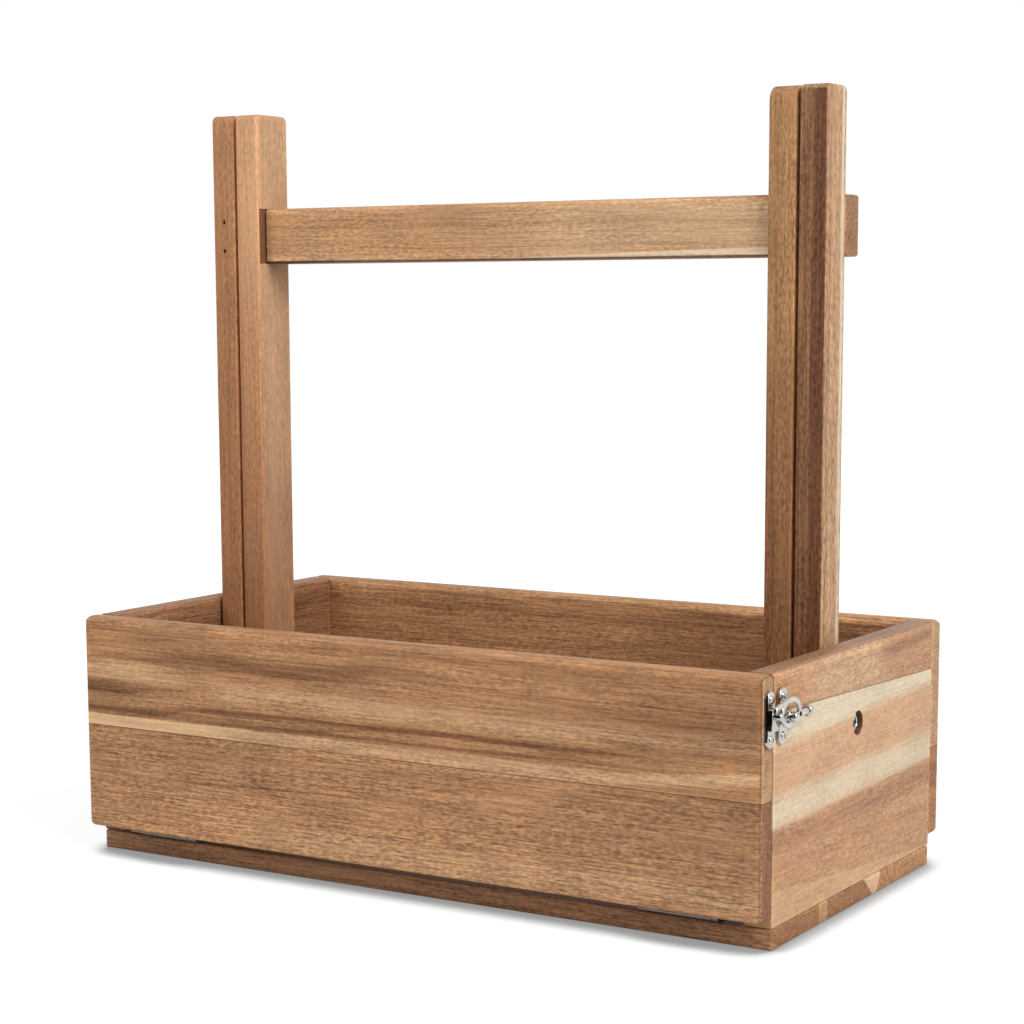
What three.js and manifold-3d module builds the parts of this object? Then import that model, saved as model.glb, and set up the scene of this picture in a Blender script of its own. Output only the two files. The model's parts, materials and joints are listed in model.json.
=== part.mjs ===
// Picnic wine carrier in acacia: a shallow box with two drop-down side flaps, carried by two
// nested U-shaped frames that turn on the same pair of pivot bolts.
// Millimetres, +Z up, +X along the length, the front flap towards -Y.
// The origin is on the floor, under the middle of the box.

import * as THREE from "three";
import { mergeVertices } from "three/addons/utils/BufferGeometryUtils.js";
import Module from "manifold-3d";

const wasm = await Module();
wasm.setup();

// Fits
const seatGap = 0.3;
const boreClearance = 0.4;

// Box
const carrierLength = 457;
const boxDepth = 220;
const boxHeight = 147.5;
const baseThickness = 11.5;
const baseEdgeRound = 1.2;
const endPanelThickness = 16;
const endPanelTopRound = 3.5;
const endPanelEdgeRound = 0.8;
const boxDowelRadius = 3;
const boxDowelDepthInBase = 9;
const boxDowelDepthInPanel = 20;
const boxDowelInset = 30;

// Flaps
const flapThickness = 12.5;
const flapGap = 0.8;
const flapTopRound = 4;
const flapBottomRound = 1.5;
const flapEndRound = 1.4;
const flapCornerRound = 3.2;

// Flap hinges
const hingeLength = 44;
const hingeInset = 14.3;
const hingeLeafWidth = 11;
const hingeLeafThickness = 0.8;
const hingeKnuckleRadius = 2.4;
const hingePinRadius = 1.2;
const hingeKnuckleCount = 5;
const hingeKnuckleGap = 0.4;
const hingeAxisForward = 0.4;
const hingeKnuckleLift = 0.4;
const hingeScrewHoleRadius = 1.5;
const hingeScrewInset = 7;

// Carrying frames
const carrierHeight = 453;
const barWidth = 16.5;
const barFront = 12.5;
const outerBarDepth = 26;
const innerBarDepth = 32;
const barTail = 26;
const barTopRound = 4;
const rightInnerBarTopRound = 8;
const barTailRound = 10;
const barEdgeRound = 1;
const crossbarDrop = 58;
const crossbarHeight = 34;
const frontCrossbarThickness = 16;
const rearCrossbarThickness = 17.5;
const rearCrossbarNotchSide = 1;
const crossbarEdgeRound = 3;
const frontCrossbarSetback = 8.3;
const tenonLength = 10;
const tenonHeight = 20;
const tenonThickness = 8;
const nailRadius = 1;
const nailSpacing = 18;
const nailRecess = 1.5;
const nailBite = 12;

// Pivot bolts
const pivotHeight = 104;
const washerThickness = 1.4;
const washerRadius = 8;
const boltRadius = 3;
const boltHeadRadius = 6.4;
const boltHeadHeight = 5;
const boltHeadRecess = 2;
const boltSocketRadius = 3;
const boltSocketDepth = 3;
const nutRadius = 5.8;
const nutHeight = 5;
const nutDomeRadius = 4.6;
const nutDomeHeight = 3.2;
const nutWall = 1.6;

// Hook latches
const latchDrop = 23;
const latchPlateHeight = 30;
const latchPlateThickness = 2.1;
const catchPlateWidth = 8;
const catchPlateForward = 1.4;
const hookPlateWidth = 9.5;
const hookPlateInset = 6.2;
const latchScrewSpacing = 21;
const latchScrewHoleRadius = 1.6;
const latchScrewRadius = 1.2;
const latchScrewBite = 8;
const latchScrewHeadRadius = 2.6;
const latchScrewHeadHeight = 1;
const catchBlockHeight = 12;
const catchBlockRise = 4.5;
const catchPostRadius = 2;
const catchPostRise = 8.4;
const catchPostLift = 2;
const hookBossRadius = 3;
const hookBossRise = 4.9;
const hookThickness = 1.8;
const hookRingHalfLength = 12;
const hookRingHalfHeight = 8.2;
const hookRingBand = 3;
const hookRingLift = 2.2;
const hookHubRadius = 3.6;
const hookBridgeHeight = 2.6;
const hookArmBand = 3.4;
const hookFingerWidth = 2.4;
const hookFingerDrop = 0.85;
const hookLatchTurn = 3.5;
const rivetRadius = 1.4;
const rivetHeadRadius = 2.8;
const rivetHeadHeight = 3.4;
const hookStemRadius = 1.7;
const hookStemLength = 7.5;
const hookKnobRadius = 3.3;
const hookKnobLength = 4.4;
const hookLobeRadius = 3;
const hookLobeDrop = 2.5;

// Facets on round pieces
const pinRound = 8;
const smallRound = 12;
const largeRound = 20;

// Derived places
const halfLength = carrierLength / 2;
const halfDepth = boxDepth / 2;
const endPanelInner = halfLength - endPanelThickness;
const endPanelBottom = baseThickness + seatGap;
const flapInner = halfDepth + flapGap;
const flapOuter = flapInner + flapThickness;
const hingeAxisDepth = halfDepth + hingeAxisForward;
const hingeAxisHeight = baseThickness + hingeKnuckleLift + hingeKnuckleRadius;
const flapBottom = hingeAxisHeight + hingeKnuckleRadius + seatGap;
const pieceGap = washerThickness + 2 * seatGap;
const outerBarOuter = endPanelInner - pieceGap;
const outerBarInner = outerBarOuter - barWidth;
const innerBarOuter = outerBarInner - pieceGap;
const innerBarInner = innerBarOuter - barWidth;
const outerBarBack = outerBarDepth - barFront;
const innerBarBack = innerBarDepth - barFront;
const barBottom = pivotHeight - barTail;
const crossbarTop = carrierHeight - crossbarDrop;
const crossbarBottom = crossbarTop - crossbarHeight;
const crossbarMiddle = crossbarTop - crossbarHeight / 2;
const rearCrossbarFront = outerBarBack + seatGap;
const rearCrossbarBack = rearCrossbarFront + rearCrossbarThickness;
const frontCrossbarFront = -barFront + frontCrossbarSetback;
const frontCrossbarBack = frontCrossbarFront + frontCrossbarThickness;
const latchHeight = boxHeight - latchDrop;
const latchSeat = halfLength + seatGap;
const catchMiddle = -(flapInner + flapThickness / 2 + catchPlateForward);
const hookPivot = -(halfDepth - hookPlateInset);

// Solids and cuts
function solid(geometry) {
  const bare = geometry.index ? geometry.toNonIndexed() : geometry.clone();
  bare.deleteAttribute("normal");
  bare.deleteAttribute("uv");
  const merged = mergeVertices(bare, 1e-4);
  const vertProperties = new Float32Array(merged.getAttribute("position").array);
  const triVerts = new Uint32Array(merged.index.array);
  return new wasm.Manifold(new wasm.Mesh({ numProp: 3, vertProperties, triVerts }));
}

function surface(body) {
  const made = body.getMesh();
  const geometry = new THREE.BufferGeometry();
  geometry.setAttribute("position", new THREE.BufferAttribute(new Float32Array(made.vertProperties), 3));
  geometry.setIndex(new THREE.BufferAttribute(new Uint32Array(made.triVerts), 1));
  const flat = geometry.toNonIndexed();
  flat.computeVertexNormals();
  return flat;
}

function block(x0, x1, y0, y1, z0, z1) {
  const geometry = new THREE.BoxGeometry(x1 - x0, y1 - y0, z1 - z0);
  geometry.translate((x0 + x1) / 2, (y0 + y1) / 2, (z0 + z1) / 2);
  return solid(geometry);
}

function rodAlongX(radius, x0, x1, y, z, segments) {
  const geometry = new THREE.CylinderGeometry(radius, radius, x1 - x0, segments);
  geometry.rotateZ(-Math.PI / 2);
  geometry.translate((x0 + x1) / 2, y, z);
  return solid(geometry);
}

function rodAlongY(radius, y0, y1, x, z, segments) {
  const geometry = new THREE.CylinderGeometry(radius, radius, y1 - y0, segments);
  geometry.translate(x, (y0 + y1) / 2, z);
  return solid(geometry);
}

function rodAlongZ(radius, z0, z1, x, y, segments) {
  const geometry = new THREE.CylinderGeometry(radius, radius, z1 - z0, segments);
  geometry.rotateX(Math.PI / 2);
  geometry.translate(x, y, (z0 + z1) / 2);
  return solid(geometry);
}

// A rectangle with its own radius at each corner, from the lower left one round to the upper left
function roundedRectangle(u0, u1, v0, v1, lowerLeft, lowerRight, upperRight, upperLeft) {
  const shape = new THREE.Shape();
  shape.moveTo(u0 + lowerLeft, v0);
  shape.lineTo(u1 - lowerRight, v0);
  shape.absarc(u1 - lowerRight, v0 + lowerRight, lowerRight, -Math.PI / 2, 0, false);
  shape.lineTo(u1, v1 - upperRight);
  shape.absarc(u1 - upperRight, v1 - upperRight, upperRight, 0, Math.PI / 2, false);
  shape.lineTo(u0 + upperLeft, v1);
  shape.absarc(u0 + upperLeft, v1 - upperLeft, upperLeft, Math.PI / 2, Math.PI, false);
  shape.lineTo(u0, v0 + lowerLeft);
  shape.absarc(u0 + lowerLeft, v0 + lowerLeft, lowerLeft, Math.PI, Math.PI * 1.5, false);
  return shape;
}

function extrude(shape, length, edge, curveSegments, bevelSegments) {
  const geometry = new THREE.ExtrudeGeometry(shape, {
    depth: length - 2 * edge,
    bevelEnabled: edge > 0,
    bevelThickness: edge,
    bevelSize: edge,
    bevelOffset: -edge,
    bevelSegments,
    curveSegments,
  });
  geometry.translate(0, 0, edge);
  return geometry;
}

// A profile drawn across Y and Z, pulled along X
function pulledAlongX(shape, x0, x1, edge, curveSegments = 3, bevelSegments = 1) {
  const geometry = extrude(shape, x1 - x0, edge, curveSegments, bevelSegments);
  const turn = new THREE.Matrix4().makeBasis(
    new THREE.Vector3(0, 1, 0),
    new THREE.Vector3(0, 0, 1),
    new THREE.Vector3(1, 0, 0),
  );
  geometry.applyMatrix4(turn);
  geometry.translate(x0, 0, 0);
  return solid(geometry);
}

// A profile drawn across X and Z, pulled along Y
function pulledAlongY(shape, y0, y1, edge, curveSegments = 3, bevelSegments = 1) {
  const geometry = extrude(shape, y1 - y0, edge, curveSegments, bevelSegments);
  const turn = new THREE.Matrix4().makeBasis(
    new THREE.Vector3(1, 0, 0),
    new THREE.Vector3(0, 0, 1),
    new THREE.Vector3(0, -1, 0),
  );
  geometry.applyMatrix4(turn);
  geometry.translate(0, y1, 0);
  return solid(geometry);
}

// Materials
function wood(colour) {
  return new THREE.MeshStandardMaterial({ color: colour, roughness: 0.62, metalness: 0 });
}

function metal(colour, roughness) {
  return new THREE.MeshStandardMaterial({ color: colour, roughness, metalness: 1 });
}

const midBrown = 0xa9784f;
const redBrown = 0x9c6a45;
const darkBrown = 0x6f4a33;
const paleBrown = 0xc69f74;
const dowelPale = 0xd2b48c;
const nickel = 0xc9c6c0;
const steel = 0xa8a7a4;

const carrier = new THREE.Group();

function place(name, body, material, parent = carrier) {
  const mesh = new THREE.Mesh(surface(body), material);
  mesh.name = name;
  parent.add(mesh);
  return mesh;
}

// Box dowels, three up through each end of the base into the end panel
const boxDowelX = halfLength - endPanelThickness / 2;
const boxDowelPlaces = [-(halfDepth - boxDowelInset), 0, halfDepth - boxDowelInset];
const boxDowelBottom = baseThickness - boxDowelDepthInBase;
const boxDowelTop = endPanelBottom + boxDowelDepthInPanel;

function cutBoxDowelHoles(body, x) {
  const radius = boxDowelRadius + boreClearance;
  let left = body;
  for (const y of boxDowelPlaces) {
    left = left.subtract(rodAlongZ(radius, boxDowelBottom - seatGap, boxDowelTop + seatGap, x, y, pinRound));
  }
  return left;
}

// Base board, edge glued from several staves
const baseProfile = roundedRectangle(
  -halfDepth, halfDepth, 0, baseThickness,
  baseEdgeRound, baseEdgeRound, baseEdgeRound, baseEdgeRound,
);
let baseBoard = pulledAlongX(baseProfile, -halfLength, halfLength, baseEdgeRound * 0.8, 2);
baseBoard = cutBoxDowelHoles(baseBoard, boxDowelX);
baseBoard = cutBoxDowelHoles(baseBoard, -boxDowelX);
place("base_board", baseBoard, wood(midBrown));

// Holes for the two screws of a latch plate, through the plate or into the wood behind it
const latchScrewHeights = [
  { level: "upper", z: latchHeight + latchScrewSpacing / 2 },
  { level: "lower", z: latchHeight - latchScrewSpacing / 2 },
];

function cutLatchScrewHoles(body, x0, x1, y) {
  let left = body;
  for (const { z } of latchScrewHeights) {
    left = left.subtract(rodAlongX(latchScrewHoleRadius, x0, x1, y, z, pinRound));
  }
  return left;
}

const pilotInner = halfLength - latchScrewBite - seatGap;
const pilotOuter = halfLength + 1;

// End panels with the counterbored pivot hole; the hook plate sits at the front of the right one
// and at the back of the left one
const counterboreRadius = boltHeadRadius + boreClearance;
const counterboreDepth = boltHeadHeight + boltHeadRecess + seatGap;
const boltHoleRadius = boltRadius + boreClearance;

function endPanel(hookSide) {
  const profile = roundedRectangle(
    endPanelInner, halfLength, endPanelBottom, boxHeight,
    endPanelEdgeRound, endPanelEdgeRound, endPanelTopRound, endPanelTopRound,
  );
  let body = pulledAlongY(profile, -halfDepth, halfDepth, endPanelEdgeRound * 0.8, 3);
  body = body.subtract(rodAlongX(boltHoleRadius, endPanelInner - 1, halfLength + 1, 0, pivotHeight, smallRound));
  body = body.subtract(
    rodAlongX(counterboreRadius, halfLength - counterboreDepth, halfLength + 1, 0, pivotHeight, largeRound),
  );
  body = cutLatchScrewHoles(body, pilotInner, pilotOuter, hookSide * hookPivot);
  return cutBoxDowelHoles(body, boxDowelX);
}

// Pivot bolt, its washers and its domed nut, for the right end
function pivotBolt() {
  const headInner = halfLength - counterboreDepth + seatGap;
  const headOuter = headInner + boltHeadHeight;
  const tip = innerBarInner - pieceGap - nutHeight;
  let body = rodAlongX(boltHeadRadius, headInner, headOuter, 0, pivotHeight, largeRound);
  body = body.add(rodAlongX(boltRadius, tip, headInner + 0.5, 0, pivotHeight, smallRound));
  return body.subtract(
    rodAlongX(boltSocketRadius, headOuter - boltSocketDepth, headOuter + 1, 0, pivotHeight, 6),
  );
}

function washer(outerFace) {
  const body = rodAlongX(washerRadius, outerFace - washerThickness, outerFace, 0, pivotHeight, largeRound);
  return body.subtract(
    rodAlongX(boltHoleRadius, outerFace - washerThickness - 1, outerFace + 1, 0, pivotHeight, smallRound),
  );
}

function domedNut() {
  const face = innerBarInner - pieceGap;
  const shoulder = face - nutHeight;
  const tip = shoulder - nutDomeHeight;
  let body = rodAlongX(nutRadius, shoulder, face, 0, pivotHeight, 6);
  const outline = [new THREE.Vector2(0, nutDomeHeight)];
  const steps = 5;
  for (let i = 1; i <= steps; i += 1) {
    const angle = (i / steps) * (Math.PI / 2);
    outline.push(new THREE.Vector2(nutDomeRadius * Math.sin(angle), nutDomeHeight * Math.cos(angle)));
  }
  outline.push(new THREE.Vector2(nutDomeRadius, -0.5));
  outline.push(new THREE.Vector2(0, -0.5));
  outline.reverse();
  const dome = new THREE.LatheGeometry(outline, smallRound);
  dome.rotateZ(Math.PI / 2);
  dome.translate(tip + nutDomeHeight, 0, pivotHeight);
  body = body.add(solid(dome));
  return body.subtract(
    rodAlongX(boltRadius + seatGap, tip + nutWall, face + 1, 0, pivotHeight, smallRound),
  );
}

const ends = [
  { side: "right", mirror: 1 },
  { side: "left", mirror: -1 },
];

for (const { side, mirror } of ends) {
  const end = new THREE.Group();
  end.scale.x = mirror;
  carrier.add(end);
  place(side + "_end_panel", endPanel(mirror), wood(paleBrown), end);
  place(side + "_pivot_bolt", pivotBolt(), metal(nickel, 0.3), end);
  place(side + "_panel_washer", washer(endPanelInner - seatGap), metal(steel, 0.4), end);
  place(side + "_bar_washer", washer(outerBarInner - seatGap), metal(steel, 0.4), end);
  place(side + "_nut_washer", washer(innerBarInner - seatGap), metal(steel, 0.4), end);
  place(side + "_pivot_nut", domedNut(), metal(nickel, 0.3), end);
  const dowelNames = ["front", "middle", "back"];
  boxDowelPlaces.forEach((y, i) => {
    const dowel = rodAlongZ(boxDowelRadius, boxDowelBottom, boxDowelTop, boxDowelX, y, pinRound);
    place(side + "_" + dowelNames[i] + "_box_dowel", dowel, wood(dowelPale), end);
  });
}

// Frame bars: the inner pair carries the front crossbar, the outer pair the rear one
function bar(x0, x1, back, frontRound, backRound) {
  const profile = roundedRectangle(
    -barFront, back, barBottom, carrierHeight,
    barTailRound, barTailRound, backRound, frontRound,
  );
  const body = pulledAlongX(profile, x0, x1, barEdgeRound, 3);
  return body.subtract(rodAlongX(boltHoleRadius, x0 - 1, x1 + 1, 0, pivotHeight, smallRound));
}

const tenonMiddle = (frontCrossbarFront + frontCrossbarBack) / 2;

function mortise() {
  return block(
    innerBarInner - 1,
    innerBarInner + tenonLength + seatGap,
    tenonMiddle - tenonThickness / 2 - seatGap,
    tenonMiddle + tenonThickness / 2 + seatGap,
    crossbarMiddle - tenonHeight / 2 - seatGap,
    crossbarMiddle + tenonHeight / 2 + seatGap,
  );
}

const nailX = (outerBarOuter + outerBarInner) / 2;
const nailFront = -barFront + nailRecess;
const nailBack = rearCrossbarFront + nailBite;
const nailHeights = [
  { level: "upper", z: crossbarMiddle + nailSpacing / 2 },
  { level: "lower", z: crossbarMiddle - nailSpacing / 2 },
];

function cutNailHoles(body, x) {
  let left = body;
  for (const { z } of nailHeights) {
    left = left.subtract(rodAlongY(nailRadius + boreClearance, -barFront - 1, nailBack + seatGap, x, z, pinRound));
  }
  return left;
}

for (const { side, mirror } of ends) {
  const end = new THREE.Group();
  end.scale.x = mirror;
  carrier.add(end);
  const right = mirror > 0;
  const innerRound = right ? rightInnerBarTopRound : barTopRound;
  const innerBar = bar(innerBarInner, innerBarOuter, innerBarBack, innerRound, barTopRound).subtract(mortise());
  place(side + "_inner_bar", innerBar, wood(right ? midBrown : paleBrown), end);
  const outerBlank = bar(outerBarInner, outerBarOuter, outerBarBack, barTopRound, barTopRound);
  const outerBar = cutNailHoles(outerBlank, nailX);
  place(side + "_outer_bar", outerBar, wood(right ? darkBrown : redBrown), end);
  for (const { level, z } of nailHeights) {
    const nail = rodAlongY(nailRadius, nailFront, nailBack, nailX, z, pinRound);
    place(side + "_" + level + "_crossbar_nail", nail, metal(steel, 0.45), end);
  }
}

// Crossbars
function crossbar(front, back, halfSpan) {
  const profile = roundedRectangle(
    front, back, crossbarBottom, crossbarTop,
    crossbarEdgeRound, crossbarEdgeRound, crossbarEdgeRound, crossbarEdgeRound,
  );
  return pulledAlongX(profile, -halfSpan, halfSpan, 0, 3);
}

const frontSpan = innerBarInner - seatGap;
const tenon = block(
  -(innerBarInner + tenonLength),
  innerBarInner + tenonLength,
  tenonMiddle - tenonThickness / 2,
  tenonMiddle + tenonThickness / 2,
  crossbarMiddle - tenonHeight / 2,
  crossbarMiddle + tenonHeight / 2,
);
const frontCrossbar = crossbar(frontCrossbarFront, frontCrossbarBack, frontSpan).add(tenon);
place("front_crossbar", frontCrossbar, wood(paleBrown));

let rearCrossbar = crossbar(rearCrossbarFront, rearCrossbarBack, outerBarOuter);
rearCrossbar = cutNailHoles(rearCrossbar, nailX);
rearCrossbar = cutNailHoles(rearCrossbar, -nailX);
// The inner bars are the deeper ones, so the rear crossbar is notched to let them stand upright
const notchInner = innerBarInner - rearCrossbarNotchSide;
const notchOuter = innerBarOuter + rearCrossbarNotchSide;
const notchBack = innerBarBack + seatGap;
for (const { mirror } of ends) {
  const low = Math.min(mirror * notchInner, mirror * notchOuter);
  const high = Math.max(mirror * notchInner, mirror * notchOuter);
  rearCrossbar = rearCrossbar.subtract(
    block(low, high, rearCrossbarFront - 1, notchBack, crossbarBottom - 1, crossbarTop + 1),
  );
}
place("rear_crossbar", rearCrossbar, wood(midBrown));

// Flaps, both made as the front one; the back one is the same turned about, so its latch is at the left
function flap(latchSide) {
  const profile = roundedRectangle(
    -flapOuter, -flapInner, flapBottom, boxHeight,
    flapBottomRound, flapBottomRound, flapTopRound, flapTopRound,
  );
  const blank = pulledAlongX(profile, -halfLength, halfLength, flapEndRound, 3, 2);
  const outline = roundedRectangle(
    -halfLength, halfLength, flapBottom, boxHeight,
    flapCornerRound, flapCornerRound, flapCornerRound, flapCornerRound,
  );
  const body = blank.intersect(pulledAlongY(outline, -flapOuter - 1, -flapInner + 1, 0, 4));
  const x0 = Math.min(latchSide * pilotInner, latchSide * pilotOuter);
  const x1 = Math.max(latchSide * pilotInner, latchSide * pilotOuter);
  return cutLatchScrewHoles(body, x0, x1, catchMiddle);
}

// A flap hinge at the right end of the front flap: two leaves with knuckles in turn, and a pin
const hingeOuterEnd = endPanelInner - hingeInset;
const hingeInnerEnd = hingeOuterEnd - hingeLength;
const knuckleLength = (hingeLength - (hingeKnuckleCount - 1) * hingeKnuckleGap) / hingeKnuckleCount;
const leafClear = hingeKnuckleRadius + 0.5;
const hingeScrewPlaces = [hingeInnerEnd + hingeScrewInset, hingeOuterEnd - hingeScrewInset];

function knuckles(body, first, tabY0, tabY1, tabZ0, tabZ1) {
  let left = body;
  for (let i = first; i < hingeKnuckleCount; i += 2) {
    const x0 = hingeInnerEnd + i * (knuckleLength + hingeKnuckleGap);
    const x1 = x0 + knuckleLength;
    left = left.add(rodAlongX(hingeKnuckleRadius, x0, x1, -hingeAxisDepth, hingeAxisHeight, smallRound));
    left = left.add(block(x0, x1, tabY0, tabY1, tabZ0, tabZ1));
  }
  const bore = hingePinRadius + seatGap;
  return left.subtract(
    rodAlongX(bore, hingeInnerEnd - 1, hingeOuterEnd + 1, -hingeAxisDepth, hingeAxisHeight, pinRound),
  );
}

function baseLeaf() {
  const z0 = baseThickness + seatGap;
  const z1 = z0 + hingeLeafThickness;
  const y0 = -hingeAxisDepth + leafClear;
  const y1 = -hingeAxisDepth + hingeLeafWidth;
  let body = block(hingeInnerEnd, hingeOuterEnd, y0, y1, z0, z1);
  for (const x of hingeScrewPlaces) {
    body = body.subtract(rodAlongZ(hingeScrewHoleRadius, z0 - 1, z1 + 1, x, (y0 + y1) / 2, pinRound));
  }
  return knuckles(body, 0, -hingeAxisDepth, y0 + 0.2, z0, z1);
}

function flapLeaf() {
  const z1 = flapBottom - seatGap;
  const z0 = z1 - hingeLeafThickness;
  const y0 = -hingeAxisDepth - hingeLeafWidth;
  const y1 = -hingeAxisDepth - leafClear;
  let body = block(hingeInnerEnd, hingeOuterEnd, y0, y1, z0, z1);
  for (const x of hingeScrewPlaces) {
    body = body.subtract(rodAlongZ(hingeScrewHoleRadius, z0 - 1, z1 + 1, x, (y0 + y1) / 2, pinRound));
  }
  return knuckles(body, 1, y1 - 0.2, -hingeAxisDepth, z0, z1);
}

function hingePin() {
  return rodAlongX(hingePinRadius, hingeInnerEnd, hingeOuterEnd, -hingeAxisDepth, hingeAxisHeight, pinRound);
}

// A hook latch at the right end of the front flap
const catchPostHeight = latchHeight + catchPostLift;
const plateFace = latchSeat + latchPlateThickness;
const hookInner = latchSeat + hookBossRise + seatGap;
const hookOuter = hookInner + hookThickness;

function stadium(middle, width) {
  const half = width / 2;
  const shape = new THREE.Shape();
  const straight = latchPlateHeight / 2 - half;
  shape.absarc(middle, latchHeight - straight, half, Math.PI, 2 * Math.PI, false);
  shape.absarc(middle, latchHeight + straight, half, 0, Math.PI, false);
  return pulledAlongX(shape, latchSeat, plateFace, 0, 6);
}

function catchPlate() {
  const plate = stadium(catchMiddle, catchPlateWidth);
  let body = cutLatchScrewHoles(plate, latchSeat - 1, plateFace + 1, catchMiddle);
  const raised = roundedRectangle(
    catchMiddle - catchPlateWidth / 2,
    catchMiddle + catchPlateWidth / 2,
    latchHeight - catchBlockHeight / 2,
    latchHeight + catchBlockHeight / 2,
    0.8, 0.8, 0.8, 0.8,
  );
  body = body.add(pulledAlongX(raised, latchSeat + 0.2, latchSeat + catchBlockRise, 0, 2));
  return body.add(
    rodAlongX(catchPostRadius, latchSeat + 0.4, latchSeat + catchPostRise, catchMiddle, catchPostHeight, smallRound),
  );
}

function hookPlate() {
  const plate = stadium(hookPivot, hookPlateWidth);
  const body = cutLatchScrewHoles(plate, latchSeat - 1, plateFace + 1, hookPivot);
  const boss = rodAlongX(
    hookBossRadius, latchSeat + 0.2, latchSeat + hookBossRise, hookPivot, latchHeight, smallRound,
  );
  return body.add(boss).subtract(
    rodAlongX(rivetRadius + seatGap, latchSeat + 0.5, hookOuter, hookPivot, latchHeight, pinRound),
  );
}

function ellipseAlongX(halfY, halfZ, y, z, x0, x1) {
  const shape = new THREE.Shape();
  shape.absellipse(y, z, halfY, halfZ, 0, 2 * Math.PI, false, 0);
  return pulledAlongX(shape, x0, x1, 0, 9);
}

// The hook is shown lifted just clear of its post, by the turn that would latch it
function hook() {
  const ringY = hookPivot;
  const ringZ = latchHeight + hookRingLift;
  const x0 = hookInner;
  const x1 = hookOuter;
  const postReach = hookPivot - catchMiddle;
  const turnDrop = postReach * Math.sin((hookLatchTurn * Math.PI) / 180);
  const armBottom = catchPostHeight + catchPostRadius + turnDrop + seatGap;
  const armTop = armBottom + hookArmBand;
  const armEnd = catchMiddle - catchPostRadius - seatGap - hookFingerWidth;
  const fingerBottom = armBottom - hookFingerDrop;

  let body = ellipseAlongX(hookRingHalfLength, hookRingHalfHeight, ringY, ringZ, x0, x1);
  const inner = ellipseAlongX(
    hookRingHalfLength - hookRingBand, hookRingHalfHeight - hookRingBand, ringY, ringZ, x0 - 1, x1 + 1,
  );
  body = body.subtract(inner);
  body = body.add(
    block(
      x0, x1,
      ringY - hookRingHalfLength + hookRingBand / 2,
      ringY + hookRingHalfLength - hookRingBand / 2,
      latchHeight - hookBridgeHeight / 2,
      latchHeight + hookBridgeHeight / 2,
    ),
  );
  body = body.add(rodAlongX(hookHubRadius, x0, x1, hookPivot, latchHeight, smallRound));

  const arm = new THREE.Shape();
  arm.moveTo(armEnd + hookFingerWidth, fingerBottom);
  arm.lineTo(armEnd + hookFingerWidth, armBottom);
  arm.lineTo(ringY - hookRingHalfLength + hookRingBand, armBottom);
  arm.lineTo(ringY - hookRingBand, ringZ + hookRingHalfHeight - hookRingBand / 2);
  arm.quadraticCurveTo(catchMiddle + postReach / 2, armTop + 1.2, catchMiddle, armTop);
  arm.quadraticCurveTo(armEnd, armTop, armEnd, fingerBottom);
  body = body.add(pulledAlongX(arm, x0, x1, 0, 3));

  const lobeY = ringY + hookRingHalfLength - hookLobeRadius;
  body = body.add(rodAlongX(hookLobeRadius, x0, x1, lobeY, latchHeight - hookLobeDrop, smallRound));

  const stemX = (x0 + x1) / 2;
  const stemStart = ringY + hookRingHalfLength - hookRingBand / 2;
  const stemEnd = ringY + hookRingHalfLength + hookStemLength;
  body = body.add(rodAlongY(hookStemRadius, stemStart, stemEnd, stemX, latchHeight, pinRound));

  const outline = [
    new THREE.Vector2(0, 0),
    new THREE.Vector2(hookKnobRadius * 0.8, 0),
    new THREE.Vector2(hookKnobRadius, hookKnobLength * 0.25),
    new THREE.Vector2(hookKnobRadius, hookKnobLength * 0.7),
    new THREE.Vector2(hookKnobRadius * 0.7, hookKnobLength),
    new THREE.Vector2(0, hookKnobLength),
  ];
  const knob = new THREE.LatheGeometry(outline, smallRound);
  knob.translate(stemX, stemEnd - 0.5, latchHeight);
  body = body.add(solid(knob));

  return body.subtract(rodAlongX(rivetRadius + seatGap, x0 - 1, x1 + 1, hookPivot, latchHeight, pinRound));
}

function hookRivet() {
  const headInner = hookOuter + seatGap;
  const shank = rodAlongX(rivetRadius, latchSeat + 0.8, headInner + 0.3, hookPivot, latchHeight, pinRound);
  const head = rodAlongX(rivetHeadRadius, headInner, headInner + rivetHeadHeight, hookPivot, latchHeight, smallRound);
  return shank.add(head);
}

function latchScrew(y, z) {
  const headInner = plateFace + seatGap;
  const outline = [
    new THREE.Vector2(0, 0),
    new THREE.Vector2(latchScrewHeadRadius, 0),
    new THREE.Vector2(latchScrewHeadRadius * 0.85, latchScrewHeadHeight * 0.55),
    new THREE.Vector2(latchScrewHeadRadius * 0.45, latchScrewHeadHeight * 0.92),
    new THREE.Vector2(0, latchScrewHeadHeight),
  ];
  const head = new THREE.LatheGeometry(outline, smallRound);
  head.rotateZ(-Math.PI / 2);
  head.translate(headInner, y, z);
  const shank = rodAlongX(latchScrewRadius, halfLength - latchScrewBite, headInner + 0.3, y, z, pinRound);
  return shank.add(solid(head));
}

const sides = [
  { face: "front", flip: 1 },
  { face: "back", flip: -1 },
];

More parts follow.
